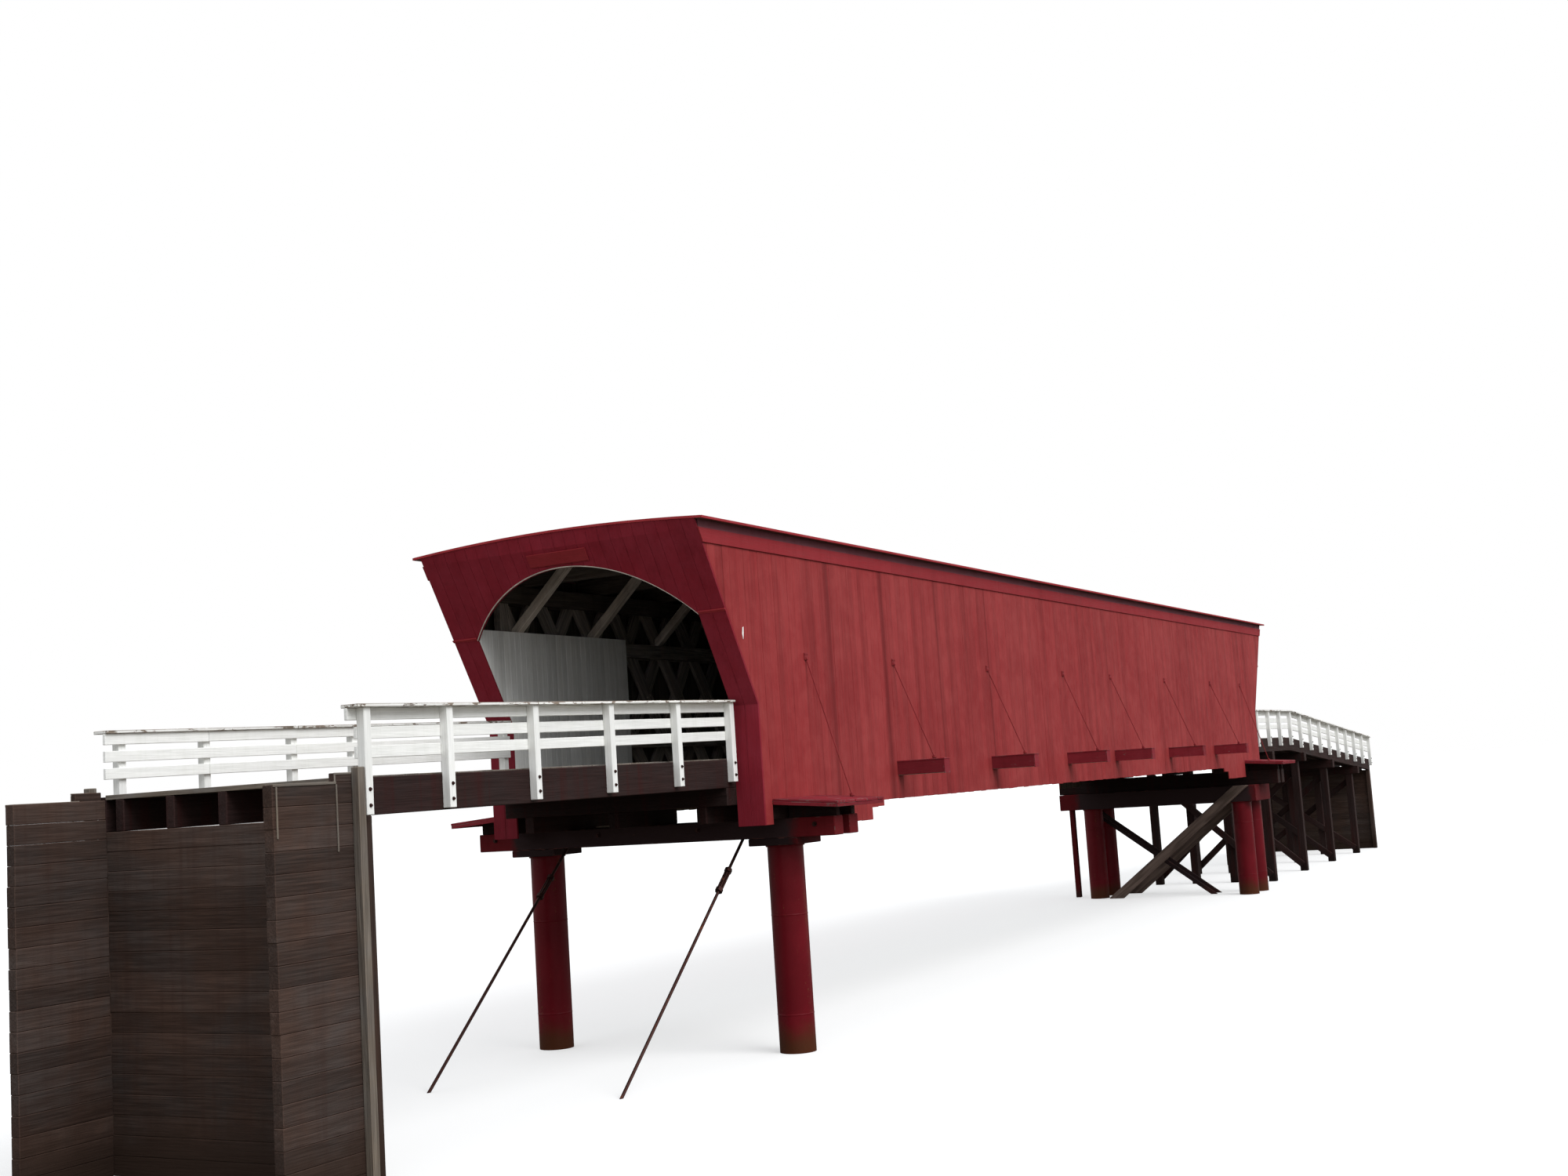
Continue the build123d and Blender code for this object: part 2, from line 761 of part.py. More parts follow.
def make_span():
    """The covered span: trusses, floor, walls and portals."""
    save("right_siding", siding())
    save("left_siding", mirror(siding(), Plane.XZ))
    save("frieze_boards", both_sides(frieze()))
    truss = lattice()
    save("right_lattice", truss)
    save("left_lattice", mirror(truss, Plane.XZ))
    chords = chord_pair(bottom_chord_base, floor_beam_base)
    save("bottom_chords", sum([both_sides(chord) for chord in chords], []))
    middle_chords = []
    for middle in middle_chord_middles():
        for chord in chord_pair(*around(middle, middle_chord_depth)):
            middle_chords += both_sides(chord)
    save("middle_chords", middle_chords)
    chords = chord_pair(top_chord_base, top_chord_top)
    save("top_chords", sum([both_sides(chord) for chord in chords], []))
    save("end_posts", both_ends(both_sides(end_post())))
    bearing = block(
        (portal_thickness, bearing_end),
        (-outer_chord_face, -inner_chord_face),
        (pier_top, bottom_chord_base),
    )
    save("bearing_timbers", both_ends(both_sides(bearing)))
    beams, outriggers = [], []
    for place in range(bay_count):
        outside = place in outrigger_bays
        reach = outrigger_half_length if outside else lattice_inner_face
        x_range = around(bay_middle(place), floor_beam_width)
        beam = block(x_range, (-reach, reach), (floor_beam_base, floor_beam_top))
        (outriggers if outside else beams).append(beam)
    save("floor_beams", beams)
    save("outrigger_beams", outriggers)
    covers = [outrigger_cover(place) for place in outrigger_bays]
    save("outrigger_covers", sum([both_sides(cover) for cover in covers], []))
    joists = []
    for y in evenly(joist_count, joist_pitch):
        joists.append(block((0, span), around(y, joist_width), (floor_beam_top, joist_top)))
    save("deck_joists", joists)
    half_deck = lining_face - deck_edge_gap
    save("main_deck", block((0, span), (-half_deck, half_deck), (joist_top, deck_top)))
    save("entrance_linings", both_ends(both_sides(entrance_lining())))
    middle = Plane.YZ.offset(span / 2)
    save("near_portal", portal())
    save("far_portal", mirror(portal(), middle))
    save("portal_bands", both_ends(both_sides(portal_band())))
    save("name_boards", both_ends([name_board()]))


def make_roof():
    """Tie beams, knee braces, purlins and the cambered roof."""
    ties, knees = [], []
    for place in tie_beam_bays:
        x_range = around(bay_middle(place), tie_beam_width)
        ties.append(cambered(outer_chord_face, top_chord_top, wall_top, x_range, flat_base=True))
        knees += both_sides(knee_brace(place))
    save("tie_beams", ties)
    save("knee_braces", knees)
    save("portal_headers", both_ends([portal_header()]))
    half_roof = roof_half_width - edge_trim_thickness
    x_range = (portal_thickness - rake_reach, span + rake_reach - portal_thickness)
    layer = cambered(half_roof, purlin_base, roof_base, x_range)
    purlins = []
    for y in evenly(purlin_count, purlin_pitch):
        strip = block(x_range, around(y, purlin_width), (purlin_base, roof_base + roof_camber))
        purlins.append(layer & strip)
    save("roof_purlins", purlins)
    eave_top = roof_base + camber(outer_wall, roof_half_width)
    eave = block(x_range, (-outer_wall, -outer_chord_face), (wall_top, eave_top))
    save("eave_boards", both_sides(eave))
    x_range = (edge_trim_thickness - roof_reach, span + roof_reach - edge_trim_thickness)
    save("roof_deck", cambered(half_roof, roof_base, roof_top, x_range))
    side_trim = block(
        (-roof_reach, span + roof_reach),
        (-roof_half_width, -half_roof),
        (roof_base, roof_top),
    )
    band = cambered(half_roof, roof_base, roof_top, (-roof_reach, x_range[0]))
    save("roof_edge_trim", both_sides(side_trim) + both_ends([band]))


def make_sway_rods():
    """Iron rods on both walls, with the small roofs over the pier ends."""
    ledge = pier_ledge()
    ledges = both_ends(both_sides(ledge))
    save("pier_ledges", ledges)
    rods = []
    for place in outrigger_bays:
        rods += both_sides(sway_rod(place, floor_beam_top + cover_thickness))
    fall = ledge_fall * sway_rod_foot_reach / ledge_reach
    near_rod = sway_rod(end_rod_bay, ledge_wall_height - fall - ledge_board / 2) - ledge
    rods += both_ends(both_sides(near_rod))
    save("sway_rods", rods)


def make_piers():
    """The near pier of steel columns and the far pier of timber piles."""
    column = rod(
        (pier_centre, -column_spread, 0), (pier_centre, -column_spread, column_top), column_radius
    )
    save("near_pier_columns", both_sides(column))
    half = pier_timber_width + pier_timber_gap / 2
    bolster = block(
        (pier_centre - half, pier_centre + half),
        around(-column_spread, bolster_length),
        (column_top, near_cap_base),
    )
    save("near_pier_bolsters", both_sides(bolster))
    caps = []
    for middle in pier_timber_middles():
        caps.append(block(
            around(middle, pier_timber_width),
            (-pier_timber_half_length, pier_timber_half_length),
            (near_cap_base, pier_top),
        ))
    save("near_pier_cap", caps)
    save("near_pier_stays", [near_stay(-1), near_stay(1)])
    save("far_pier_piles", far_pier_piles())
    x_range = around(span - pier_centre, pile_row_gap + 2 * column_radius)
    save("far_pier_cap", block(
        x_range, (-far_cap_right_reach, far_cap_left_reach), (far_cap_base, column_top)
    ))
    save("far_pier_cross_timbers", [
        block(
            around(span - middle, pier_timber_width),
            (-pier_timber_half_length, pier_timber_half_length),
            (column_top, pier_top),
        )
        for middle in pier_timber_middles()
    ])
    save("far_pier_braces", far_pier_braces())


def make_approaches():
    """Decks, beams, seats and abutments of both approaches."""
    far_start, near_start = span + approach_gap, -approach_gap
    half_deck = approach_half_width - edge_beam_width
    beam_range = (-approach_half_width, -half_deck)
    near_beam = sloped_strip(-near_length, near_start, seat_top, seat_top + edge_beam_depth,
                             beam_range, near_drop)
    far_beam = sloped_strip(far_start, far_end, seat_top, seat_top + edge_beam_depth,
                            beam_range, far_drop)
    save("approach_edge_beams", both_sides(near_beam) + both_sides(far_beam))
    stringers = []
    for y in evenly(stringer_count, stringer_pitch):
        y_range = around(y, stringer_width)
        stringers.append(sloped_strip(-near_length, near_start, seat_top, joist_top, y_range, near_drop))
        stringers.append(sloped_strip(far_start, far_end, seat_top, joist_top, y_range, far_drop))
    save("approach_stringers", stringers)
    save("approach_decks", [
        sloped_strip(-near_length, near_start, joist_top, deck_top, (-half_deck, half_deck), near_drop),
        sloped_strip(far_start, far_end, joist_top, deck_top, (-half_deck, half_deck), far_drop),
    ])
    seat = block(
        (near_start - seat_length, near_start),
        (-approach_half_width, approach_half_width),
        (bottom_chord_base, seat_top),
    )
    save("approach_seats", both_ends([seat]))
    corbels = []
    for y in evenly(corbel_count, corbel_pitch):
        corbels.append(block(
            (near_start - seat_length, pier_timber_middles()[1] + pier_timber_width / 2),
            around(y, corbel_width),
            (pier_top, bottom_chord_base),
        ))
    save("seat_corbels", both_ends(corbels))
    near_wall = sloped_strip(-near_length, -near_length + abutment_thickness, -near_fall, seat_top,
                             (-half_deck, half_deck), near_drop)
    far_wall = sloped_strip(far_end - abutment_thickness, far_end, -far_fall, seat_top,
                            (-half_deck, half_deck), far_drop)
    x_range = (-near_length - overrun, far_end + overrun)
    above_ground = block(x_range, (-outer_wall, outer_wall), (0, wall_top))
    save("abutment_walls", [near_wall & above_ground, far_wall & above_ground])
    wing = block((-wing_wall_end, -near_length), (-approach_half_width, -half_deck), (0, wing_wall_top))
    save("wing_walls", both_sides(wing))
    near_post = sloped_strip(-near_length, -near_length + abutment_post_width, -near_fall, seat_top,
                             beam_range, near_drop)
    far_post = sloped_strip(far_end - abutment_post_width, far_end, -far_fall, seat_top,
                            beam_range, far_drop)
    posts = both_sides(near_post & above_ground) + both_sides(far_post & above_ground)
    save("abutment_posts", posts)
    posts, caps, braces = bents()
    save("far_bent_posts", posts)
    save("far_bent_caps", caps)
    save("far_bent_braces", braces)


def make_railings():
    """The four railings with their cap planks, and the land fence."""
    near_range = (near_post_places[-1] - post_size / 2, -rail_setback)
    near_base = seat_top + near_post_rise
    right = railing(near_post_places, near_base, rail_drop, rail_drop, near_range, near_rail_run_past)
    left_range = (-left_rail_end, -rail_setback)
    left = railing(left_post_places, near_base, rail_drop, rail_drop, left_range)
    save("near_right_railing", right)
    save("near_left_railing", mirror(left, Plane.XZ))
    far_range = (span + rail_setback, far_end)
    far = railing(far_post_places, far_post_base, far_drop, far_drop, far_range)
    save("far_right_railing", far)
    save("far_left_railing", mirror(far, Plane.XZ))
    right_cap = rail_cap(near_range[0] - near_rail_run_past, near_range[1], rail_drop)
    left_cap = mirror(rail_cap(*left_range, rail_drop), Plane.XZ)
    far_cap = rail_cap(*far_range, far_drop)
    save("rail_caps", [right_cap, left_cap] + both_sides(far_cap))


os.makedirs("parts", exist_ok=True)
make_span()
make_roof()
make_sway_rods()
make_piers()
make_approaches()
make_railings()
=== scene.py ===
import math
import random

import bmesh
import bpy
import numpy as np
from mathutils import Matrix, Vector


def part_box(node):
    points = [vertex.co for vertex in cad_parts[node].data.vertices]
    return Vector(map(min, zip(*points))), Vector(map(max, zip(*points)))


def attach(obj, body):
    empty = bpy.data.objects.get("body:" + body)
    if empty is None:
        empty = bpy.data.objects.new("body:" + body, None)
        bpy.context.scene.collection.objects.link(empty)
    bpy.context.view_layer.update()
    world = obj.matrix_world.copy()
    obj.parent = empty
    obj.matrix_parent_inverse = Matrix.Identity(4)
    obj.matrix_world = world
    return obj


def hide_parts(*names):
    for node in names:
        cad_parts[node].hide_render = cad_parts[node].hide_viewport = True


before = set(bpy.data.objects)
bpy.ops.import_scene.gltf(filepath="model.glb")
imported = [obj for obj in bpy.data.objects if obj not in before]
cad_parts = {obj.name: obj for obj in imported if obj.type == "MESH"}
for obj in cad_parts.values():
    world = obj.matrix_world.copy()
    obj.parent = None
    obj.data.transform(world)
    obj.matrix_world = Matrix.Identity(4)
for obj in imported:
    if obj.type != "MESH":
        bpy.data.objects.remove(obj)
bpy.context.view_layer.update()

bl_info = {
    "name": "Covered bridge",
    "version": (1, 0, 0),
    "blender": (4, 5, 0),
    "location": "View3D > Sidebar > Bridge",
    "description": "Boards, timbers, ironwork and finishes of a covered timber bridge, a 1:2 scale model",
    "category": "Object",
}


def low(node):
    """Lowest corner of a node."""
    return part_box(node)[0]


def high(node):
    """Highest corner of a node."""
    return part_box(node)[1]


# Places read from the frame, in metres
near_face = low("deck_joists").x
far_face = high("deck_joists").x
span = far_face - near_face
deck_top = high("main_deck").z
deck_thickness = deck_top - low("main_deck").z
wall_y = -low("right_siding").y
wall_inner_y = -high("right_siding").y
wall_top = high("right_siding").z
portal_base = low("near_portal").z
rake_reach = near_face - low("near_portal").x
portal_thickness = high("near_portal").x - near_face
chord_base = low("bottom_chords").z
chord_top = high("top_chords").z
beam_base = low("floor_beams").z
beam_top = high("floor_beams").z
lining_top = high("entrance_linings").z
lining_outer_y = high("entrance_linings").y
seat_top = high("approach_seats").z
near_start = low("approach_decks").x
far_end = high("approach_decks").x
cap_top = high("rail_caps").z

# Sizes of the real construction that the boxes of the nodes don't give
knee_height = deck_top + 0.417
lining_thickness = 0.010
lining_y = lining_outer_y - lining_thickness
arch_rise = 0.480
arch_crown = chord_top - 0.030
lining_length = 1.850
bay_count = 28
bay = span / bay_count
rake_slope = rake_reach / (wall_top - knee_height)
rake_angle = math.atan(rake_slope)
filler_reach = 0.038
approach_gap = 0.003
near_level = 0.200
near_fall = 0.020
near_rail_fall = 0.065
far_fall = 0.525
post_size = 0.060
rail_height = 0.072
rail_pitch = 0.113
rail_thickness = 0.025
rail_count = 3
cap_thickness = 0.020
posts_y = 1.100
railing_gap = 0.040
rail_run_past = 0.075
post_setback = (cap_top - knee_height) * rake_slope + railing_gap + post_size / 2
right_posts = (0.9055, 1.8095, 2.7135, 3.6175, 4.376)
left_posts = (0.870, 1.979, 2.629, 3.470, 4.200)
left_rail_end = 4.360
near_post_rise = 0.048
far_post_count = 14
far_post_pitch = (far_end - far_face - post_setback - post_size / 2) / (far_post_count - 1)
far_level_bays = 4
far_break = far_face + post_setback + far_level_bays * far_post_pitch
far_post_rise = 0.090
roof_camber = 0.060
roof_half_width = -low("roof_edge_trim").y
roof_base = low("roof_edge_trim").z

# Ends of the lower edge's steps from the portal, and the height of each stretch
wall_steps = [
    (0.140, portal_base),
    (0.980, chord_base + 0.010),
    (1.975, chord_base - 0.225),
    (2.225, chord_base - 0.115),
]
wall_base = chord_base - 0.060

# Ranges of the boards' tones, from dark to pale
all_tones = (0.0, 1.0)
shaded_tones = (0.0, 0.25)
name_board_tones = (0.4, 0.5)
middle_tones = (0.4, 0.6)
# The pale range is painted light: it makes the knee braces, the roof trim and the arches' cut edges paler
# where light falls on them
pale_lit_tones = (0.9, 1.0)
palest_tones = (0.95, 1.0)

# Widths of the worn edges that the panel doesn't hold
moulding_edge = 0.0008
eave_edge = 0.001
thin_edge = 0.0015
plank_edge = 0.002
ledge_edge = 0.0025
timber_edge = 0.003
beam_edge = 0.004
treated_edge = 0.005

# Directions
along_road = (1, 0, 0)
across_road = (0, 1, 0)
upright = (0, 0, 1)

# Mesh making
bevel_angle = math.radians(40)
flat_angle = math.radians(0.1)
weld_distance = 0.00002
facing_share = 0.7
grain_shift = 40
iron_flats = 6
small_sides = 8
round_sides = 12
washer_sides = 16

# Kinds of the node groups' sockets that aren't plain numbers
socket_kinds = {"Place": "Vector", "Position": "Vector", "Colour": "Color"}


def length_property(name, description, default, smallest, largest):
    """A length that a user may change."""
    return bpy.props.FloatProperty(
        name=name, description=description, default=default, min=smallest, max=largest, unit="LENGTH")


class BridgeSizes(bpy.types.PropertyGroup):
    """Sizes of the boards and gaps."""

    wall_board: length_property(
        "Wall boards", "Width of the upright boards on the walls", 0.112, 0.04, 0.3)
    lining_board: length_property(
        "Lining boards", "Width of the upright boards inside the entrances", 0.075, 0.03, 0.2)
    deck_plank: length_property(
        "Deck planks", "Width of the planks across the road", 0.125, 0.05, 0.3)
    roof_board: length_property(
        "Roof boards", "Width of the boards across the roof", 0.118, 0.05, 0.3)
    seam: length_property(
        "Seams", "Gap between one board and the next", 0.0015, 0.0005, 0.01)
    chamfer: length_property(
        "Eased edges", "Width of the worn edge on boards", 0.0014, 0.0005, 0.006)
    timber_chamfer: length_property(
        "Timber edges", "Width of the worn edge on heavy timbers", 0.006, 0.001, 0.012)


def colour_property(name, description, default):
    """A colour that a user may change."""
    return bpy.props.FloatVectorProperty(
        name=name, description=description, subtype="COLOR", size=3, min=0, max=1, default=default)


class BridgeColours(bpy.types.PropertyGroup):
    """Colours of the paints, timbers and metals."""

    wall_red: colour_property("Wall red", "Paint on the side walls", (0.252, 0.0265, 0.0285))
    # Darker than the wall red, partly as painted shade for portal faces that look away from the light
    portal_red: colour_property("Portal red", "Darker paint on the portals", (0.228, 0.0150, 0.0265))
    trim_red: colour_property("Trim red", "Paint on the trim under the roof", (0.250, 0.022, 0.028))
    eave_red: colour_property("Eave red", "Dark paint on the recessed eave boards", (0.170, 0.050, 0.064))
    pier_roof_red: colour_property("Pier roof red", "Worn paint over the pier ends", (0.210, 0.018, 0.027))
    white: colour_property("Railing white", "Paint on the railings", (0.900, 0.900, 0.880))
    lining_white: colour_property("Lining white", "Dusty paint inside the entrances", (0.880, 0.880, 0.860))
    column_red: colour_property("Column red", "Paint on the steel columns", (0.115, 0.0046, 0.009))
    # The pier red shows only near the timbers' ends; their middles under the bridge take a near-black
    # painted shade
    pier_red: colour_property("Pier red", "Paint on the pier timbers' ends", (0.110, 0.007, 0.010))
    inner_timber: colour_property("Inner timber", "Sawn timber inside the bridge", (0.420, 0.370, 0.320))
    deck_timber: colour_property("Deck timber", "Worn planks of the road", (0.200, 0.165, 0.130))
    dark_timber: colour_property("Dark timber", "Treated timber of the approaches", (0.028, 0.0137, 0.0125))
    grey_timber: colour_property("Grey timber", "Old planks of the abutments", (0.064, 0.038, 0.029))
    # A much darker copy of the inner timber: painted shade for the beams under the roof and for the inner
    # faces of walls, portals and trim
    roof_timber: colour_property("Roof timber", "Beams under the roof", (0.100, 0.084, 0.070))
    roof_boards: colour_property("Roof boards", "Boards of the roof", (0.130, 0.070, 0.060))
    rod_red: colour_property("Rod red", "Paint on the sway rods", (0.200, 0.020, 0.024))
    iron: colour_property("Iron", "Plates and bolts", (0.045, 0.020, 0.018))


def add(tree, kind, inputs=None, **settings):
    """Put a shader node in a tree, with its inputs set or linked."""
    made = tree.nodes.new("ShaderNode" + kind)
    for name, value in settings.items():
        setattr(made, name, value)
    for name, value in (inputs or {}).items():
        if isinstance(value, bpy.types.NodeSocket):
            tree.links.new(value, made.inputs[name])
        else:
            made.inputs[name].default_value = value
    return made


def work(tree, operation, *values):
    """A sum, product or other working of numbers."""
    return add(tree, "Math", dict(enumerate(values)), operation=operation).outputs[0]


def spread(tree, value, start, end, bottom=0.0, top=1.0):
    """A value carried smoothly from one range to another."""
    inputs = {"Value": value, "From Min": start, "From Max": end, "To Min": bottom, "To Max": top}
    return add(tree, "MapRange", inputs, interpolation_type="SMOOTHSTEP").outputs[0]


def blend(tree, share, first, second):
    """A mix of two colours."""
    return add(tree, "Mix", {0: share, 6: first, 7: second}, data_type="RGBA").outputs[2]


def stretched(tree, place, factors):
    """Coordinates scaled by a factor on each axis."""
    return add(tree, "VectorMath", {0: place, 1: factors}, operation="MULTIPLY").outputs[0]


def noise(tree, place, scale, detail=3.0, roughness=0.55, distortion=0.0):
    """Soft noise between nought and one."""
    inputs = {"Vector": place, "Scale": scale, "Detail": detail, "Roughness": roughness,
              "Distortion": distortion}
    return add(tree, "TexNoise", inputs).outputs[0]


def start_group(name, inputs, outputs):
    """A new node group, with inputs named and given their defaults, and with named outputs."""
    tree = bpy.data.node_groups.new(name, "ShaderNodeTree")
    for way, labels in (("INPUT", inputs), ("OUTPUT", outputs)):
        for label in labels:
            kind = "NodeSocket" + socket_kinds.get(label, "Float")
            socket = tree.interface.new_socket(label, in_out=way, socket_type=kind)
            if way == "INPUT" and inputs[label] is not None:
                socket.default_value = inputs[label]
    return tree, tree.nodes.new("NodeGroupInput").outputs, tree.nodes.new("NodeGroupOutput").inputs


def use_group(tree, name, inputs):
    """A node group placed in a tree with its own values."""
    return add(tree, "Group", inputs, node_tree=bpy.data.node_groups[name]).outputs


def make_grain_group():
    """Fibres and broad bands that run along each timber."""
    tree, given, result = start_group("Wood grain", {"Place": None, "Fineness": 90.0}, ("Fibre", "Bands"))
    long_fibre = stretched(tree, given["Place"], (0.035, 1, 1))
    fibre = noise(tree, long_fibre, given["Fineness"], detail=4, roughness=0.62, distortion=0.2)
    long_band = stretched(tree, given["Place"], (0.09, 1, 1))
    bands = noise(tree, long_band, 17, detail=2, roughness=0.5, distortion=0.8)
    tree.links.new(spread(tree, fibre, 0.28, 0.72), result["Fibre"])
    tree.links.new(spread(tree, bands, 0.3, 0.7), result["Bands"])


def make_tone_group():
    """A colour that changes from board to board and along the grain."""
    tree, given, result = start_group(
        "Board tone",
        {"Colour": None, "Tone": 0.5, "Difference": 0.3, "Fibre": 0.5, "Depth": 0.2}, ("Colour",))
    middle, factor = 0.5, 1.0
    for value, strength in (("Tone", "Difference"), ("Fibre", "Depth")):
        from_middle = work(tree, "SUBTRACT", given[value], middle)
        factor = work(tree, "MULTIPLY_ADD", from_middle, given[strength], factor)
    scaled = add(tree, "VectorMath", {0: given["Colour"], "Scale": factor}, operation="SCALE").outputs[0]
    tree.links.new(scaled, result["Colour"])


def make_flaking_group():
    """Where paint has gone, most of it along the worn edges."""
    full_paint_level, level_per_amount, sharpness = 0.86, 0.45, 18
    tree, given, result = start_group(
        "Flaking", {"Place": None, "Edge": 0.0, "Amount": 0.3, "Edge wear": 0.15}, ("Bare",))
    long_chip = stretched(tree, given["Place"], (0.3, 1, 1))
    chips = noise(tree, long_chip, 24, detail=5, roughness=0.6, distortion=0.4)
    worn = work(tree, "MULTIPLY_ADD", given["Edge"], given["Edge wear"], chips)
    fall = work(tree, "MULTIPLY", given["Amount"], level_per_amount)
    level = work(tree, "SUBTRACT", full_paint_level, fall)
    share = work(tree, "MULTIPLY", work(tree, "SUBTRACT", worn, level), sharpness)
    tree.links.new(add(tree, "Clamp", {"Value": share}).outputs[0], result["Bare"])


def make_run_group():
    """Marks that water leaves as it runs down."""
    tree, given, result = start_group("Run marks", {"Position": None, "Closeness": 7.0}, ("Marks",))
    tall = stretched(tree, given["Position"], (1, 1, 0.05))
    marks = noise(tree, tall, given["Closeness"], detail=3, roughness=0.6, distortion=0.1)
    tree.links.new(spread(tree, marks, 0.48, 0.72), result["Marks"])


def make_patch_group():
    """Large soft patches where paint or timber has faded or darkened."""
    tree, given, result = start_group("Patches", {"Position": None, "Closeness": 0.9}, ("Patches",))
    soft = noise(tree, given["Position"], given["Closeness"], detail=4, roughness=0.6, distortion=0.3)
    tree.links.new(spread(tree, soft, 0.35, 0.68), result["Patches"])


def make_ground_group():
    """Dirt that rises from the ground, uneven along its top."""
    least_share, fade_start, fade_end = 0.35, 1.1, 0.2
    tree, given, result = start_group("Ground dirt", {"Position": None, "Height": 0.5}, ("Dirt",))
    level = add(tree, "SeparateXYZ", {0: given["Position"]}).outputs["Z"]
    rough = noise(tree, given["Position"], 5, detail=4, roughness=0.6)
    reach = work(tree, "MULTIPLY", given["Height"], work(tree, "ADD", rough, least_share))
    share = work(tree, "DIVIDE", level, reach)
    tree.links.new(spread(tree, share, fade_start, fade_end), result["Dirt"])


def make_streak_group():
    """Dark streaks down a wall at two places, ragged along their edges."""
    raggedness = 2.4
    tree, given, result = start_group(
        "Dark streaks", {"Position": None, "First": 0.0, "Second": 0.0, "Half width": 0.07}, ("Streaks",))
    along = add(tree, "SeparateXYZ", {0: given["Position"]}).outputs["X"]
    ragged = noise(tree, stretched(tree, given["Position"], (1, 1, 0.12)), 9, detail=4, roughness=0.65)
    reach = work(tree, "MULTIPLY", given["Half width"], work(tree, "MULTIPLY", ragged, raggedness))
    shares = []
    for place in ("First", "Second"):
        gap = work(tree, "ABSOLUTE", work(tree, "SUBTRACT", along, given[place]))
        shares.append(spread(tree, work(tree, "DIVIDE", gap, reach), 1.0, 0.1))
    tree.links.new(work(tree, "MAXIMUM", *shares), result["Streaks"])


def make_end_group():
    """Where a timber across the road is near its ends, which keep their paint while its middle takes a
    painted shade.
    """
    raggedness = 0.16
    tree, given, result = start_group(
        "Timber ends", {"Position": None, "Inner": 1.42, "Outer": 1.56}, ("Ends",))
    across = add(tree, "SeparateXYZ", {0: given["Position"]}).outputs["Y"]
    ragged = work(tree, "MULTIPLY", noise(tree, given["Position"], 11), raggedness)
    reach = work(tree, "ADD", work(tree, "ABSOLUTE", across), ragged)
    tree.links.new(spread(tree, reach, given["Inner"], given["Outer"]), result["Ends"])


def start_material(name, roughness):
    """The node tree and shader of a new material, ready for colour and bump."""
    material = bpy.data.materials.new(name + "_finish")
    material.use_nodes = True
    tree = material.node_tree
    tree.nodes.clear()
    shader = add(tree, "BsdfPrincipled", {"Roughness": roughness, "Specular IOR Level": 0.1})
    add(tree, "OutputMaterial", {"Surface": shader.outputs[0]}).location.x = 300
    return tree, shader


def surface(tree):
    """The grain's coordinates, the tone, the worn edges and the position on the bridge."""
    grain = add(tree, "Attribute", attribute_name="grain").outputs["Vector"]
    tone, edge = [add(tree, "Attribute", attribute_name=name).outputs["Fac"] for name in ("tone", "edge")]
    return grain, tone, edge, add(tree, "TexCoord").outputs["Object"]


def opaque(colour):
    """A colour property as the shader takes it."""
    return (*colour, 1.0)


def tinted(colour, factors):
    """A colour with each channel changed by a factor."""
    return tuple(min(1.0, part * factor) for part, factor in zip(colour, factors)) + (1.0,)


def pattern(tree, name, position, closeness):
    """Patches or run marks at a closeness of their own."""
    return use_group(tree, name, {"Position": position, "Closeness": closeness})[0]


def two_scales(tree, name, position, broad, fine, fine_share):
    """A pattern at a broad and at a fine closeness, mixed by the fine one's share."""
    broad_part = work(tree, "MULTIPLY", pattern(tree, name, position, broad), 1 - fine_share)
    return work(tree, "MULTIPLY_ADD", pattern(tree, name, position, fine), fine_share, broad_part)


def toned(tree, colour, tone, difference, fibre, depth):
    """A colour with its board's tone and the grain's depth."""
    return use_group(tree, "Board tone", {
        "Colour": colour, "Tone": tone, "Difference": difference, "Fibre": fibre, "Depth": depth,
    })["Colour"]


def over(tree, mask, share, below, above):
    """A colour laid over another where a mask is, as far as its share goes."""
    return blend(tree, work(tree, "MULTIPLY", mask, share), below, above)


def dirtied(tree, clean, position, height, dirt_colour):
    """A colour with the ground's dirt up to a height, or as it was when the height is nought."""
    if not height:
        return clean
    dirt = use_group(tree, "Ground dirt", {"Position": position, "Height": height})["Dirt"]
    return blend(tree, dirt, clean, dirt_colour)


def finish_surface(tree, shader, colour, roughness, relief, distance):
    """Give a shader its colour, its roughness and the relief on its normal."""
    made = add(tree, "Bump", {"Height": relief, "Distance": distance, "Strength": 1.0})
    for value, name in ((colour, "Base Color"), (roughness, "Roughness"), (made.outputs[0], "Normal")):
        tree.links.new(value, shader.inputs[name])


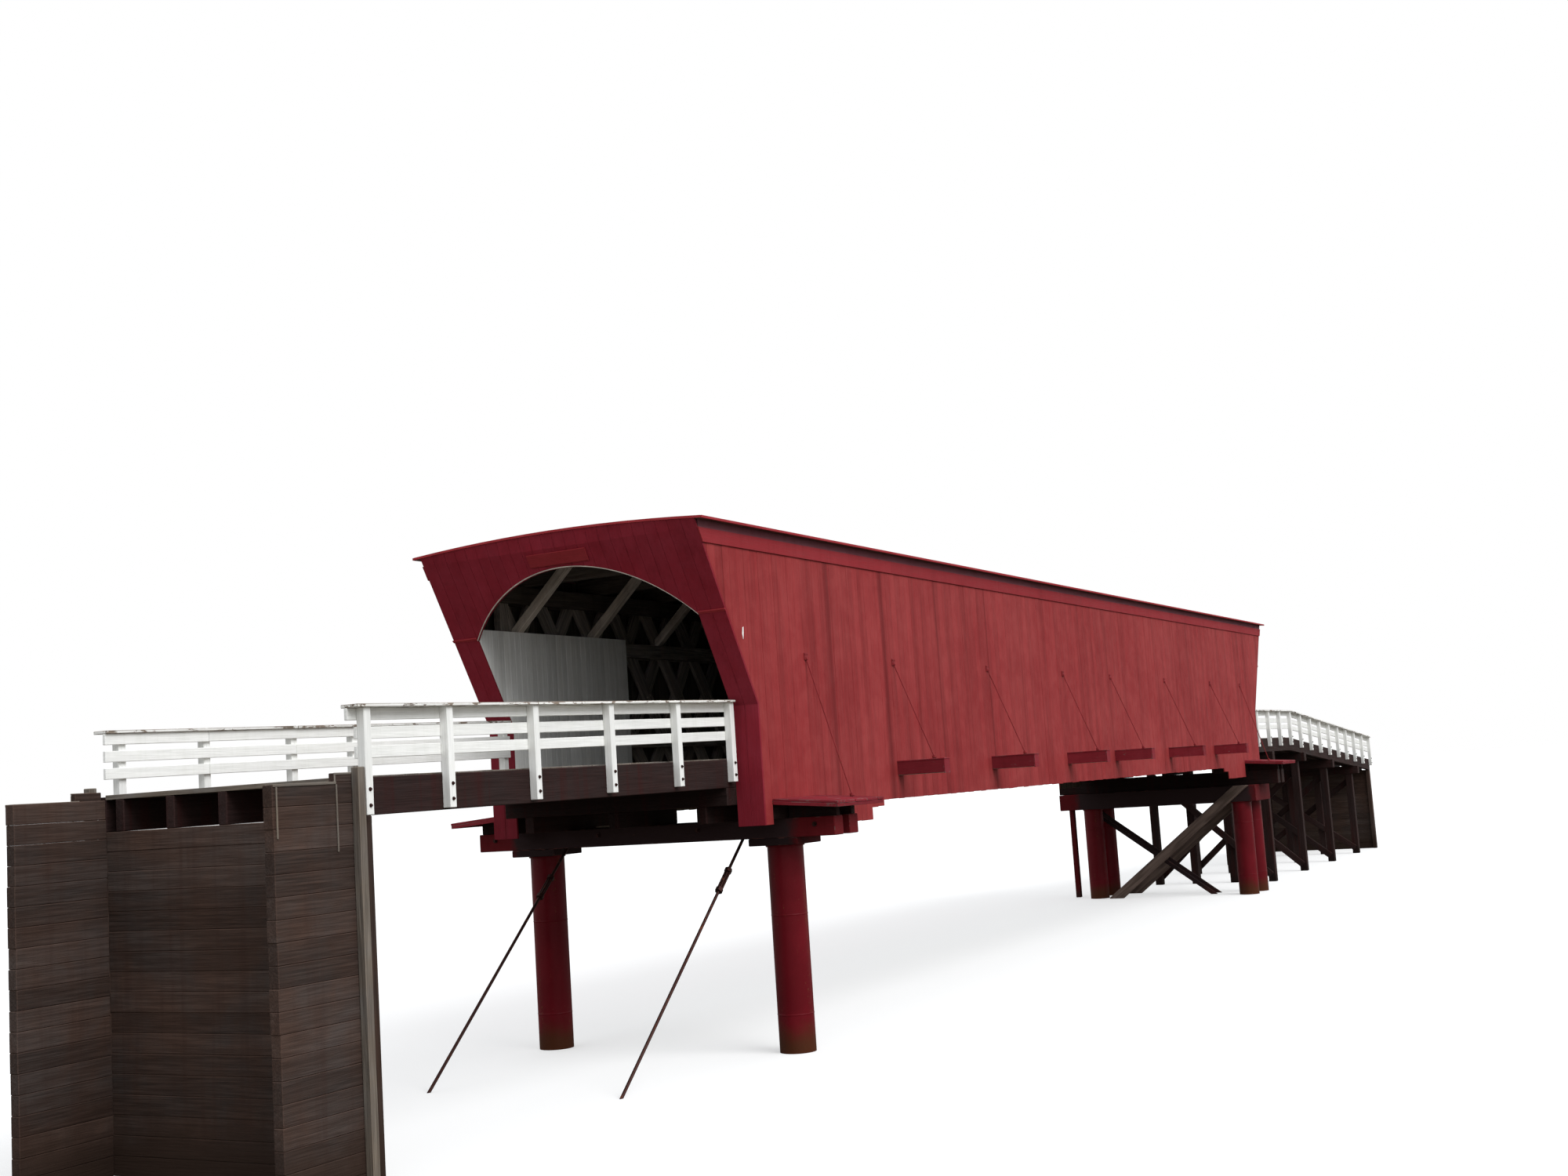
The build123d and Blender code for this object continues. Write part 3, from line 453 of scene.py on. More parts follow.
def painted(name, colour, bare, flaking, edge_wear=0.12, difference=0.16, runs=0.35, fading=0.35,
            fade_factors=(1.3, 1.9, 1.75), run_factors=(0.55, 0.45, 0.45), ground=0.0,
            inside=None, streaks=(), painted_shade_middle=None):
    """Paint on boards: faded in patches, marked by water, and gone in flakes."""
    roughness, flake_roughness = 0.7, 0.2
    streak_factors, dirt_factors = (0.42, 0.38, 0.4), (0.45, 0.42, 0.4)
    tree, shader = start_material(name, roughness)
    grain, tone, edge, position = surface(tree)
    wood = use_group(tree, "Wood grain", {"Place": grain, "Fineness": 110.0})
    patches = two_scales(tree, "Patches", position, broad=0.9, fine=6.0, fine_share=0.45)
    marks = two_scales(tree, "Run marks", position, broad=7.0, fine=38.0, fine_share=0.4)
    finished = over(tree, patches, fading, opaque(colour), tinted(colour, fade_factors))
    finished = over(tree, marks, runs, finished, tinted(colour, run_factors))
    for first, second, half_width, share in streaks:
        dark = use_group(tree, "Dark streaks", {
            "Position": position, "First": first, "Second": second, "Half width": half_width})["Streaks"]
        finished = over(tree, dark, share, finished, tinted(colour, streak_factors))
    # Painted shade: near black in the middle of a timber under the bridge, with the paint left at its ends
    if painted_shade_middle:
        ends = use_group(tree, "Timber ends", {"Position": position})["Ends"]
        finished = blend(tree, ends, opaque(painted_shade_middle), finished)
    finished = toned(tree, finished, tone, difference, wood["Fibre"], depth=0.14)
    flakes = use_group(tree, "Flaking", {
        "Place": grain, "Edge": edge, "Amount": flaking, "Edge wear": edge_wear})["Bare"]
    uncovered = toned(tree, opaque(bare), tone, 0.3, wood["Bands"], depth=0.5)
    finished = blend(tree, flakes, finished, uncovered)
    finished = dirtied(tree, finished, position, ground, tinted(bare, dirt_factors))
    if inside:
        sawn = toned(tree, opaque(inside), tone, 0.5, wood["Bands"], depth=0.6)
        unpainted = add(tree, "Attribute", attribute_name="unpainted").outputs["Fac"]
        finished = blend(tree, unpainted, finished, sawn)
    dullness = spread(tree, wood["Fibre"], 0, 1, roughness - 0.06, roughness + 0.14)
    dullness = work(tree, "MULTIPLY_ADD", flakes, flake_roughness, dullness)
    relief = work(tree, "SUBTRACT", work(tree, "MULTIPLY", wood["Fibre"], 0.5), flakes)
    finish_surface(tree, shader, finished, dullness, relief, distance=0.0012)


def bare_timber(name, colour, difference=0.5, grey=0.35, runs=0.3, roughness=0.82, ground=0.0,
                red_stain=0.0):
    """Sawn timber: bands of grain, grey where weathered, and lighter on its edges as a painted highlight."""
    band_share, edge_highlight_share, greyness = 0.4, 0.2, 1.15
    tree, shader = start_material(name, roughness)
    grain, tone, edge, position = surface(tree)
    wood = use_group(tree, "Wood grain", {"Place": grain, "Fineness": 80.0})
    patches = pattern(tree, "Patches", position, 1.7)
    marks = pattern(tree, "Run marks", position, 11.0)
    grey_colour = opaque([greyness * sum(colour) / 3] * 3)
    stain = tinted(colour, (0.6 + 2.4 * red_stain, 0.5, 0.5))
    finished = over(tree, patches, grey, opaque(colour), grey_colour)
    finished = toned(tree, finished, tone, difference, wood["Fibre"], depth=0.6)
    finished = over(tree, wood["Bands"], band_share, finished, tinted(colour, (0.55, 0.5, 0.48)))
    finished = over(tree, marks, runs, finished, stain)
    # Painted highlight: the eased edges are lightened as though they catch the light
    finished = over(tree, edge, edge_highlight_share, finished, tinted(colour, (2.1, 2.1, 2.1)))
    finished = dirtied(tree, finished, position, ground, tinted(colour, (0.5, 0.5, 0.48)))
    dullness = spread(tree, wood["Fibre"], 0, 1, roughness - 0.1, min(1, roughness + 0.1))
    relief = work(tree, "ADD", wood["Fibre"], wood["Bands"])
    finish_surface(tree, shader, finished, dullness, relief, distance=0.0016)


def metal(name, colour, rust, rust_share, roughness, metallic=0.0, ground=0.0):
    """Painted or bare iron with rust breaking through."""
    rust_roughness, rust_start, rust_end = 0.85, 0.72, 0.86
    tree, shader = start_material(name, roughness)
    position = add(tree, "TexCoord").outputs["Object"]
    marks = pattern(tree, "Run marks", position, 16.0)
    speckle = noise(tree, position, 42, detail=5, roughness=0.65)
    rusty = spread(tree, work(tree, "MULTIPLY_ADD", marks, 0.16, speckle),
                   rust_start - rust_share, rust_end - rust_share)
    patches = pattern(tree, "Patches", position, 2.6)
    dulled = over(tree, patches, 0.5, opaque(colour), tinted(colour, (1.5, 1.7, 1.6)))
    finished = blend(tree, rusty, dulled, opaque(rust))
    finished = dirtied(tree, finished, position, ground, tinted(rust, (0.5, 0.5, 0.5)))
    tree.links.new(spread(tree, rusty, 0, 1, metallic, 0), shader.inputs["Metallic"])
    dullness = spread(tree, rusty, 0, 1, roughness, rust_roughness)
    finish_surface(tree, shader, finished, dullness, work(tree, "ADD", speckle, rusty), distance=0.0008)


def make_materials(colours):
    """Every finish of the bridge, under the names of the record's material slots."""
    weathered_wood = (0.300, 0.250, 0.205)
    rust = (0.150, 0.045, 0.020)
    broad_streaks = (near_face + 1.352, near_face + 2.448, 0.070, 0.62)
    thin_streaks = (near_face + 3.700, near_face + 5.010, 0.024, 0.45)
    # The inner faces of the walls, portals and trim take the dark roof timber as painted shade
    painted("red_boarding", colours.wall_red, weathered_wood, flaking=0.12, edge_wear=0.03,
            difference=0.17, runs=0.6, fading=0.85, inside=colours.roof_timber,
            streaks=(broad_streaks, thin_streaks))
    # The portals' paint: the wall red made darker, partly as painted shade on the portal faces
    painted("portal_red", colours.portal_red, weathered_wood, flaking=0.05, edge_wear=0.02,
            difference=0.12, runs=0.5, fading=0.45, fade_factors=(1.25, 2.4, 2.2),
            inside=colours.roof_timber)
    painted("red_trim", colours.trim_red, weathered_wood, flaking=0.12, edge_wear=0.06,
            difference=0.6, inside=colours.roof_timber)
    painted("eave_red", colours.eave_red, weathered_wood, flaking=0.1)
    painted("pier_roof_red", colours.pier_roof_red, (0.190, 0.110, 0.105), flaking=0.5,
            edge_wear=0.15, difference=0.4, fading=0.6)
    # Pier timbers: near black in the middle, as painted shade under the bridge
    painted("pier_timber", colours.pier_red, (0.120, 0.050, 0.045), flaking=0.3, edge_wear=0.2,
            difference=0.5, ground=0.2, inside=(0.170, 0.120, 0.100), painted_shade_middle=(0.032, 0.018, 0.019))
    painted("white_railing", colours.white, (0.230, 0.190, 0.150), flaking=0.2, edge_wear=0.07,
            difference=0.08, runs=0.22, fading=0.3, fade_factors=(0.86, 0.87, 0.84),
            run_factors=(0.66, 0.67, 0.6))
    painted("worn_cap", colours.white, (0.230, 0.185, 0.150), flaking=0.72, edge_wear=0.2,
            difference=0.2, runs=0.3, fading=0.5, fade_factors=(0.7, 0.68, 0.62),
            run_factors=(0.5, 0.48, 0.42))
    painted("white_lining", colours.lining_white, (0.280, 0.230, 0.180), flaking=0.12, edge_wear=0.03,
            difference=0.22, runs=0.4, fading=0.4, fade_factors=(0.8, 0.8, 0.78),
            run_factors=(0.6, 0.58, 0.52))
    bare_timber("inner_timber", colours.inner_timber, difference=1.2)
    # The beams under the roof: sawn timber darkened as painted shade inside the bridge
    bare_timber("roof_timber", colours.roof_timber, grey=0.2)
    bare_timber("roof_boards", colours.roof_boards, difference=0.45, grey=0.3)
    bare_timber("deck_planks", colours.deck_timber, difference=0.6, grey=0.6)
    bare_timber("dark_timber", colours.dark_timber, runs=0.6, red_stain=0.3, roughness=0.7, ground=0.2)
    bare_timber("grey_timber", colours.grey_timber, difference=0.6, grey=0.5, ground=0.5)
    metal("dark_iron", colours.iron, rust, rust_share=0.12, roughness=0.5, metallic=0.8)
    metal("rod_paint", colours.rod_red, rust, rust_share=0.12, roughness=0.6)
    metal("column_paint", colours.column_red, rust, rust_share=0.05, roughness=0.38, ground=0.3)


def turns_round(count):
    """The angles of points spaced evenly round a circle."""
    return [2 * math.pi * step / count for step in range(count)]


def put_in_scene(name, data):
    """A new object for some data, in the scene."""
    made = bpy.data.objects.new(name, data)
    bpy.context.scene.collection.objects.link(made)
    return made


class Timbers:
    """The timbers of one piece, each with its own run of grain and its own tone."""

    def __init__(self, seed, tones=all_tones):
        self.mesh = bmesh.new()
        self.number = self.mesh.verts.layers.int.new("timber")
        self.worn = self.mesh.faces.layers.float.new("edge")
        self.unpainted = self.mesh.faces.layers.float.new("unpainted")
        self.turns = []
        self.shifts = []
        self.tones = []
        self.tone_range = tones
        self.chance = random.Random(seed)

    def vary(self, size):
        """A small random difference, up to a size either way."""
        return self.chance.uniform(-size, size)

    def up_to(self, size):
        """A random size between nought and the one given."""
        return self.chance.uniform(0, size)

    def begin(self, along):
        """Note the next timber's grain direction and give its number."""
        self.turns.append(Vector(along).to_track_quat("X", "Z").to_matrix().transposed())
        self.shifts.append([self.up_to(grain_shift) for _ in range(3)])
        self.tones.append(self.chance.uniform(*self.tone_range))
        return len(self.tones) - 1

    def corner(self, point, number):
        """One vertex of a timber."""
        made = self.mesh.verts.new(point)
        made[self.number] = number
        return made

    def loft(self, rings, along, curved=False):
        """A closed solid through rings of points that have the same count."""
        number = self.begin(along)
        rows = [[self.corner(point, number) for point in ring] for ring in rings]
        count = len(rings[0])
        for first, second in zip(rows, rows[1:]):
            for place in range(count):
                after = (place + 1) % count
                side = self.mesh.faces.new((first[place], first[after], second[after], second[place]))
                side.smooth = curved
        for row in (rows[0], rows[-1]):
            end = self.mesh.faces.new(row)
            for edge in end.edges:
                edge.smooth = False

    def prism(self, outline, push, along):
        """A board cut to an outline and given its thickness by a push."""
        points = [Vector(point) for point in outline]
        self.loft([points, [point + Vector(push) for point in points]], along)

    def slab(self, x, width, outline, along):
        """A board cut to an outline of Y and Z, from a place along the road onwards."""
        self.prism([(x, y, z) for y, z in outline], (width, 0, 0), along)

    def box(self, start, end, along):
        """A squared timber between two corners."""
        (x, y, z), (x_end, y_end, z_end) = start, end
        self.slab(x, x_end - x, [(y, z), (y_end, z), (y_end, z_end), (y, z_end)], along)

    def rod(self, start, end, radius, sides):
        """A round or many-sided rod between two points."""
        start, end = Vector(start), Vector(end)
        along = (end - start).normalized()
        side = along.orthogonal().normalized()
        other = along.cross(side)
        spokes = [radius * (math.cos(turn) * side + math.sin(turn) * other) for turn in turns_round(sides)]
        rings = [[middle + spoke for spoke in spokes] for middle in (start, end)]
        self.loft(rings, along, curved=sides > iron_flats)

    def adopt(self, node):
        """Take over a node's solids, each with its grain along its length."""
        source = welded(node)
        bmesh.ops.dissolve_limit(source, angle_limit=flat_angle, verts=source.verts, edges=source.edges)
        source.verts.index_update()
        for solid in loose_solids(source):
            number = self.begin(long_direction([vert.co for vert in solid]))
            made = {vert.index: self.corner(vert.co, number) for vert in solid}
            faces = {face.index: face for vert in solid for face in vert.link_faces}
            for index in sorted(faces):
                self.mesh.faces.new([made[vert.index] for vert in faces[index].verts])
        source.free()

    def build(self, name, finish, nodes=(), chamfer=0.0, bare_side=None, slot=None):
        """Ease the edges and put the piece in the scene, in place of the nodes it stands for."""
        bmesh.ops.recalc_face_normals(self.mesh, faces=self.mesh.faces)
        self.mesh.normal_update()
        if bare_side:
            for face in self.mesh.faces:
                face[self.unpainted] = face.normal.dot(Vector(bare_side)) > facing_share
        if chamfer:
            sharp = [edge for edge in self.mesh.edges if edge.calc_face_angle(0) > bevel_angle]
            eased = bmesh.ops.bevel(self.mesh, geom=sharp, offset=chamfer, affect="EDGES",
                                    segments=1, profile=0.5)
            for face in eased["faces"]:
                face[self.worn] = 1
        data = bpy.data.meshes.new(name)
        self.mesh.to_mesh(data)
        self.mesh.free()
        self.store_grain(data)
        data.materials.append(bpy.data.materials[finish + "_finish"])
        piece = put_in_scene(name, data)
        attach(piece, "root")
        if nodes:
            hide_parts(*nodes)

    def store_grain(self, data):
        """Store each vertex's grain coordinates and its timber's tone, for the finishes."""
        numbers = np.empty(len(data.vertices), np.int32)
        data.attributes["timber"].data.foreach_get("value", numbers)
        points = np.empty(3 * len(numbers), np.float32)
        data.vertices.foreach_get("co", points)
        turned = np.einsum("nij,nj->ni", np.array(self.turns)[numbers], points.reshape(-1, 3))
        grain = turned + np.array(self.shifts)[numbers]
        stored = data.attributes.new("grain", "FLOAT_VECTOR", "POINT")
        stored.data.foreach_set("vector", grain.astype(np.float32).ravel())
        stored = data.attributes.new("tone", "FLOAT", "POINT")
        stored.data.foreach_set("value", np.array(self.tones, np.float32)[numbers])
        data.attributes.remove(data.attributes["timber"])


def loose_solids(mesh):
    """The vertices of each separate solid of a mesh."""
    seen = set()
    solids = []
    for vert in mesh.verts:
        if vert.index in seen:
            continue
        seen.add(vert.index)
        solid, waiting = [], [vert]
        while waiting:
            current = waiting.pop()
            solid.append(current)
            for edge in current.link_edges:
                other = edge.other_vert(current)
                if other.index not in seen:
                    seen.add(other.index)
                    waiting.append(other)
        solids.append(solid)
    return solids


def long_direction(points):
    """The direction in which a solid is longest."""
    spots = np.array([tuple(point) for point in points])
    return Vector(np.linalg.svd(spots - spots.mean(axis=0))[2][0])


def welded(node):
    """A node's mesh, with the vertices that lie on one another joined."""
    mesh = bmesh.new()
    mesh.from_mesh(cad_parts[node].data)
    bmesh.ops.remove_doubles(mesh, verts=mesh.verts, dist=weld_distance)
    mesh.verts.index_update()
    return mesh


def solid_boxes(node):
    """The lowest and highest corners of each separate solid of a node."""
    source = welded(node)
    boxes = []
    for solid in loose_solids(source):
        points = np.array([tuple(vert.co) for vert in solid])
        boxes.append((Vector(points.min(axis=0)), Vector(points.max(axis=0))))
    source.free()
    return boxes


def dress(seed, node, finish, chamfer, tones=all_tones):
    """Give a node's plain timbers worn edges, grain and tone."""
    timbers = Timbers(seed, tones)
    timbers.adopt(node)
    timbers.build(node + "_timbers", finish, [node], chamfer)


def from_end(far, inwards):
    """X at a distance inwards from the near or the far portal's upright face."""
    return far_face - inwards if far else near_face + inwards


def sided_boxes(node):
    """Each solid of a node outside the walls: its side, the Y of its tip and its two corners."""
    boxes = []
    for box_low, box_high in solid_boxes(node):
        side = 1 if box_low.y > 0 else -1
        boxes.append((side, box_high.y if side > 0 else box_low.y, box_low, box_high))
    return boxes


def side_name(side):
    """The word for a side of the road."""
    return "left" if side > 0 else "right"


def end_name(far):
    """The word for an end of the bridge."""
    return "far" if far else "near"


def knee_level(depth):
    """Height at which a layer of a portal bends outwards."""
    return knee_height + depth * math.tan(rake_angle / 2)


def portal_place(z, depth=0.0):
    """How far inwards a portal's face is at a height, or a layer some depth behind it."""
    if z <= knee_level(depth):
        return depth
    return depth / math.cos(rake_angle) - (z - knee_height) * rake_slope


def rake_height(inwards, depth):
    """Height at which a layer behind a portal's raked face passes a place."""
    return knee_height + (depth / math.cos(rake_angle) - inwards) / rake_slope


def near_drop(x):
    """How far the near approach has fallen at a place."""
    past = near_face - x - near_level
    return near_fall * max(0, past) / (near_face - near_start - near_level)


def far_drop(x):
    """How far the far approach has fallen at a place."""
    return far_fall * max(0, x - far_break) / (far_end - far_break)


def rail_drop(x):
    """How far the near railing has fallen at a place."""
    return near_rail_fall * max(0, near_face - x) / (near_face - near_start)


def camber(y):
    """Rise of the roof's curve at a distance from the middle."""
    return roof_camber * (1 - (y / roof_half_width) ** 2)


def evenly(start, end, width):
    """The edges of boards that fill a length, each about as wide as asked."""
    count = max(1, round((end - start) / width))
    return [start + (end - start) * step / count for step in range(count + 1)]


def gapped(edges, gap):
    """The two edges of each board between its seams, less half a gap on either side."""
    return [(start + gap / 2, end - gap / 2) for start, end in zip(edges, edges[1:])]


def boards(start, end, width, gap):
    """The two edges of each board that fills a length, with a gap between one and the next."""
    return gapped(evenly(start, end, width), gap)


def wall_edges(timbers, width):
    """Where the seams of a side wall are, inwards from the near portal's face."""
    uneven_seam = 0.005
    marks = [portal_place(wall_top, portal_thickness), portal_thickness]
    marks += [place for place, _ in wall_steps]
    marks += [span - place for place in marks]
    for box_low, box_high in solid_boxes("outrigger_beams"):
        marks += [box_low.x - near_face, box_high.x - near_face]
    marks = sorted(marks)
    edges = []
    for start, end in zip(marks, marks[1:]):
        inner = evenly(start, end, width)
        edges.append(inner[0])
        edges += [place + timbers.vary(uneven_seam) for place in inner[1:-1]]
    return edges + [marks[-1]]


def wall_foot(inwards):
    """Height of a side wall's lower edge at a distance from the near portal."""
    inwards = min(inwards, span - inwards)
    for end, height in wall_steps:
        if inwards < end:
            return height
    return wall_base


def raked_outline(start, end, base, top, depth):
    """Outline of an upright board, cut by the rake of either portal, in distances and heights."""
    shortest_edge = 0.004
    feet = []
    for place in (start, end):
        from_portal = min(place, span - place)
        feet.append(max(base, rake_height(from_portal, depth)) if from_portal < depth else base)
    left, right = feet
    if right > top - shortest_edge:
        return [(start, left), (end, top), (start, top)]
    if left > top - shortest_edge:
        return [(start, top), (end, right), (end, top)]
    return [(start, left), (end, right), (end, top), (start, top)]


def upright_board(timbers, outline, y_face, y_back):
    """One upright board of a wall along the road."""
    points = [(near_face + place, y_face, z) for place, z in outline]
    timbers.prism(points, (0, y_back - y_face, 0), upright)


def side_wall(seed, side, sizes):
    """The boards of one side wall, cut round the outriggers."""
    timbers = Timbers(seed)
    uneven_face, uneven_foot = 0.0015, 0.003
    edges = wall_edges(timbers, sizes.wall_board)
    slots = [round(box[0].x - near_face, 3) for box in solid_boxes("outrigger_beams")]
    for start, end in zip(edges, edges[1:]):
        left, right = start + sizes.seam / 2, end - sizes.seam / 2
        face = side * (wall_y - timbers.up_to(uneven_face))
        foot = wall_foot((start + end) / 2) + timbers.vary(uneven_foot)
        stretches = [(foot, wall_top)]
        if round(start, 3) in slots:
            stretches = [(foot, beam_base), (beam_top, wall_top)]
        for base, top in stretches:
            outline = raked_outline(left, right, base, top, portal_thickness)
            upright_board(timbers, outline, face, side * wall_inner_y)
    name = side_name(side)
    timbers.build(name + "_wall_boards", "red_boarding", [name + "_siding"], sizes.chamfer,
                  bare_side=(0, -side, 0))


def wall_chip(seed):
    """A pale splinter beside the right wall's near edge."""
    chip = Timbers(seed)
    thickness = 0.004
    outline = [(-0.186, 3.372), (-0.176, 3.330), (-0.166, 3.385), (-0.163, 3.432), (-0.177, 3.422)]
    upright_board(chip, outline, -wall_y, -wall_y - thickness)
    chip.build("wall_splinter", "white_railing")


def frieze_boards(seed, sizes):
    """The boards along the tops of the side walls."""
    timbers = Timbers(seed, middle_tones)
    board_length = 2.6
    base = low("frieze_boards").z
    thickness = high("frieze_boards").y - wall_y
    raked_edge = (portal_place(base), portal_place(wall_top))
    edges = evenly(0, span, board_length)
    for side in (-1, 1):
        for start, end in zip(edges, edges[1:]):
            foot_start, head_start = [start + sizes.seam / 2] * 2 if start > 0 else raked_edge
            foot_end, head_end = [end - sizes.seam / 2] * 2 if end < span else [span - x for x in raked_edge]
            outline = [(foot_start, base), (head_start, wall_top), (head_end, wall_top), (foot_end, base)]
            points = [(near_face + place, side * wall_y, z) for place, z in outline]
            timbers.prism(points, (0, side * thickness, 0), along_road)
    timbers.build("frieze", "red_trim", ["frieze_boards"], sizes.chamfer)


def arch_height(y):
    """Height of the arch's curve over a place across the road."""
    radius = (lining_y**2 + arch_rise**2) / (2 * arch_rise)
    return arch_crown - radius + math.sqrt(radius**2 - y**2)


def portal_boards(seed, far, sizes):
    """One portal's upright boards, bent at the knee and cut to the arch."""
    timbers = Timbers(seed)
    curve_steps = 4
    for left, right in boards(-wall_y, -lining_y, sizes.wall_board, sizes.seam):
        for side in (-1, 1):
            edges = sorted((-side * left, -side * right))
            timbers.loft([portal_ring(far, y, portal_base) for y in edges], upright)
    for left, right in boards(-lining_y, lining_y, sizes.wall_board, sizes.seam):
        places = [left + (right - left) * step / curve_steps for step in range(curve_steps + 1)]
        timbers.loft([portal_ring(far, y, arch_height(y)) for y in places], upright)
    name = end_name(far)
    timbers.build(name + "_portal_boards", "portal_red", [name + "_portal"], sizes.chamfer,
                  bare_side=(-1 if far else 1, 0, 0))


def portal_ring(far, y, base):
    """Section through a portal board, from its foot to the roof."""
    top = roof_base + camber(y)
    reach = rake_reach + min((top - wall_top) * rake_slope, filler_reach)
    sides = []
    for depth in (0.0, portal_thickness):
        bend = knee_level(depth)
        heights = [base] + ([bend] if base < bend else []) + [wall_top]
        sides.append([(from_end(far, portal_place(z, depth)), y, z) for z in heights])
        sides[-1].append((from_end(far, depth / math.cos(rake_angle) - reach), y, top))
    return sides[0] + sides[1][::-1]


def on_portal(far, y, z, proud):
    """A point in front of a portal's raked face."""
    return (from_end(far, portal_place(z, -proud)), y, z)


def portal_strip(timbers, far, places, profile, lift=lambda y: 0.0):
    """A strip across a portal's raked face, with a profile of heights and depths."""
    rings = [[on_portal(far, y, lift(y) + z, proud) for z, proud in profile] for y in places]
    timbers.loft(rings, across_road)


def portal_trim(seed):
    """The mouldings on the legs, the pale cut edges of the arches and the bare name boards."""
    # The arches' cut edges take the pale range as painted light
    mouldings, edges = Timbers(seed, palest_tones), Timbers(seed + 2, pale_lit_tones)
    names = Timbers(seed + 1, name_board_tones)
    past_wall = 0.004
    base, top = low("portal_bands").z, high("portal_bands").z
    moulding = [(base, 0.0), (base, 0.005), (base + 0.45 * (top - base), 0.009),
                (base + 0.55 * (top - base), 0.013), (top - 0.002, 0.012), (top + 0.003, 0.0)]
    base, top = low("name_boards").z, high("name_boards").z
    name_board = [(base, 0.0), (base, 0.010), (base + 0.006, 0.0125), (top - 0.006, 0.0125),
                  (top, 0.010), (top, 0.0)]
    name_half = high("name_boards").y
    edge_strip = [(0, -0.002), (0, 0.003), (0.008, 0.003), (0.008, -0.002)]
    half_steps = 24
    arch_places = [lining_y * step / half_steps for step in range(-half_steps, half_steps + 1)]
    for far in (False, True):
        for side in (-1, 1):
            places = [side * y for y in (lining_y, wall_y + past_wall)]
            portal_strip(mouldings, far, places, moulding)
        portal_strip(edges, far, arch_places, edge_strip, arch_height)
        portal_strip(names, far, (-name_half, name_half), name_board)
    mouldings.build("portal_mouldings", "red_trim", ["portal_bands"], moulding_edge)
    edges.build("arch_edges", "inner_timber")
    names.build("bare_name_boards", "red_trim", ["name_boards"], plank_edge)


def linings(seed, sizes):
    """The white boards inside both entrances."""
    timbers = Timbers(seed)
    uneven_face = 0.001
    edges = evenly(portal_place(lining_top, portal_thickness), portal_thickness, sizes.lining_board)
    edges += evenly(portal_thickness, lining_length, sizes.lining_board)[1:]
    for far in (False, True):
        for side in (-1, 1):
            for left, right in gapped(edges, 2 * sizes.seam / 3):
                face = side * (lining_y + timbers.up_to(uneven_face))
                outline = raked_outline(left, right, deck_top, lining_top, portal_thickness)
                points = [(from_end(far, place), face, z) for place, z in outline]
                timbers.prism(points, (0, side * lining_outer_y - face, 0), upright)
    timbers.build("lining_boards", "white_lining", ["entrance_linings"], thin_edge)


def cambered(timbers, places, profile):
    """A timber across the road that follows the roof's curve."""
    timbers.loft([[(x, y, z + camber(y)) for x, z in profile] for y in places], across_road)


def roof(seed, sizes):
    """Boards across the roof that follow its curve, and the trim round its edge."""
    # The roof trim takes the pale range as a painted highlight along the roof's edge
    timbers, trim = Timbers(seed), Timbers(seed + 1, pale_lit_tones)
    half_steps, trim_length, trim_gap, uneven_lift = 6, 3.0, 0.002, 0.001
    start, end = low("roof_deck").x, high("roof_deck").x
    outer_start, outer_end = low("roof_edge_trim").x, high("roof_edge_trim").x
    half = high("roof_deck").y
    edge_top = high("roof_edge_trim").z - roof_camber
    places = [half * step / half_steps for step in range(-half_steps, half_steps + 1)]
    for left, right in boards(start, end, sizes.roof_board, sizes.seam):
        lift = timbers.vary(uneven_lift)
        top, base = edge_top + lift, roof_base + lift
        cambered(timbers, places, [(left, top), (right, top), (right, base), (left, base)])
    for side in (-1, 1):
        for left, right in boards(outer_start, outer_end, trim_length, trim_gap):
            trim.box((left, side * half, roof_base), (right, side * roof_half_width, edge_top), along_road)
    for outer, inner in ((outer_start, start), (outer_end, end)):
        cambered(trim, places,
                 [(outer, roof_base), (outer, edge_top), (inner, edge_top), (inner, roof_base)])
    timbers.build("roof_covering", "roof_boards", ["roof_deck"], sizes.chamfer)
    trim.build("roof_trim", "red_trim", ["roof_edge_trim"], sizes.chamfer)


def clipped(outline, axis, limit, keep_above):
    """Outline of a flat shape cut off at a limit on one axis."""
    kept = []
    for here, after in zip(outline, outline[1:] + outline[:1]):
        gap_here, gap_after = here[axis] - limit, after[axis] - limit
        if not keep_above:
            gap_here, gap_after = -gap_here, -gap_after
        if gap_here >= 0:
            kept.append(here)
        if gap_here * gap_after < 0:
            share = gap_here / (gap_here - gap_after)
            kept.append(tuple(a + share * (b - a) for a, b in zip(here, after)))
    return kept


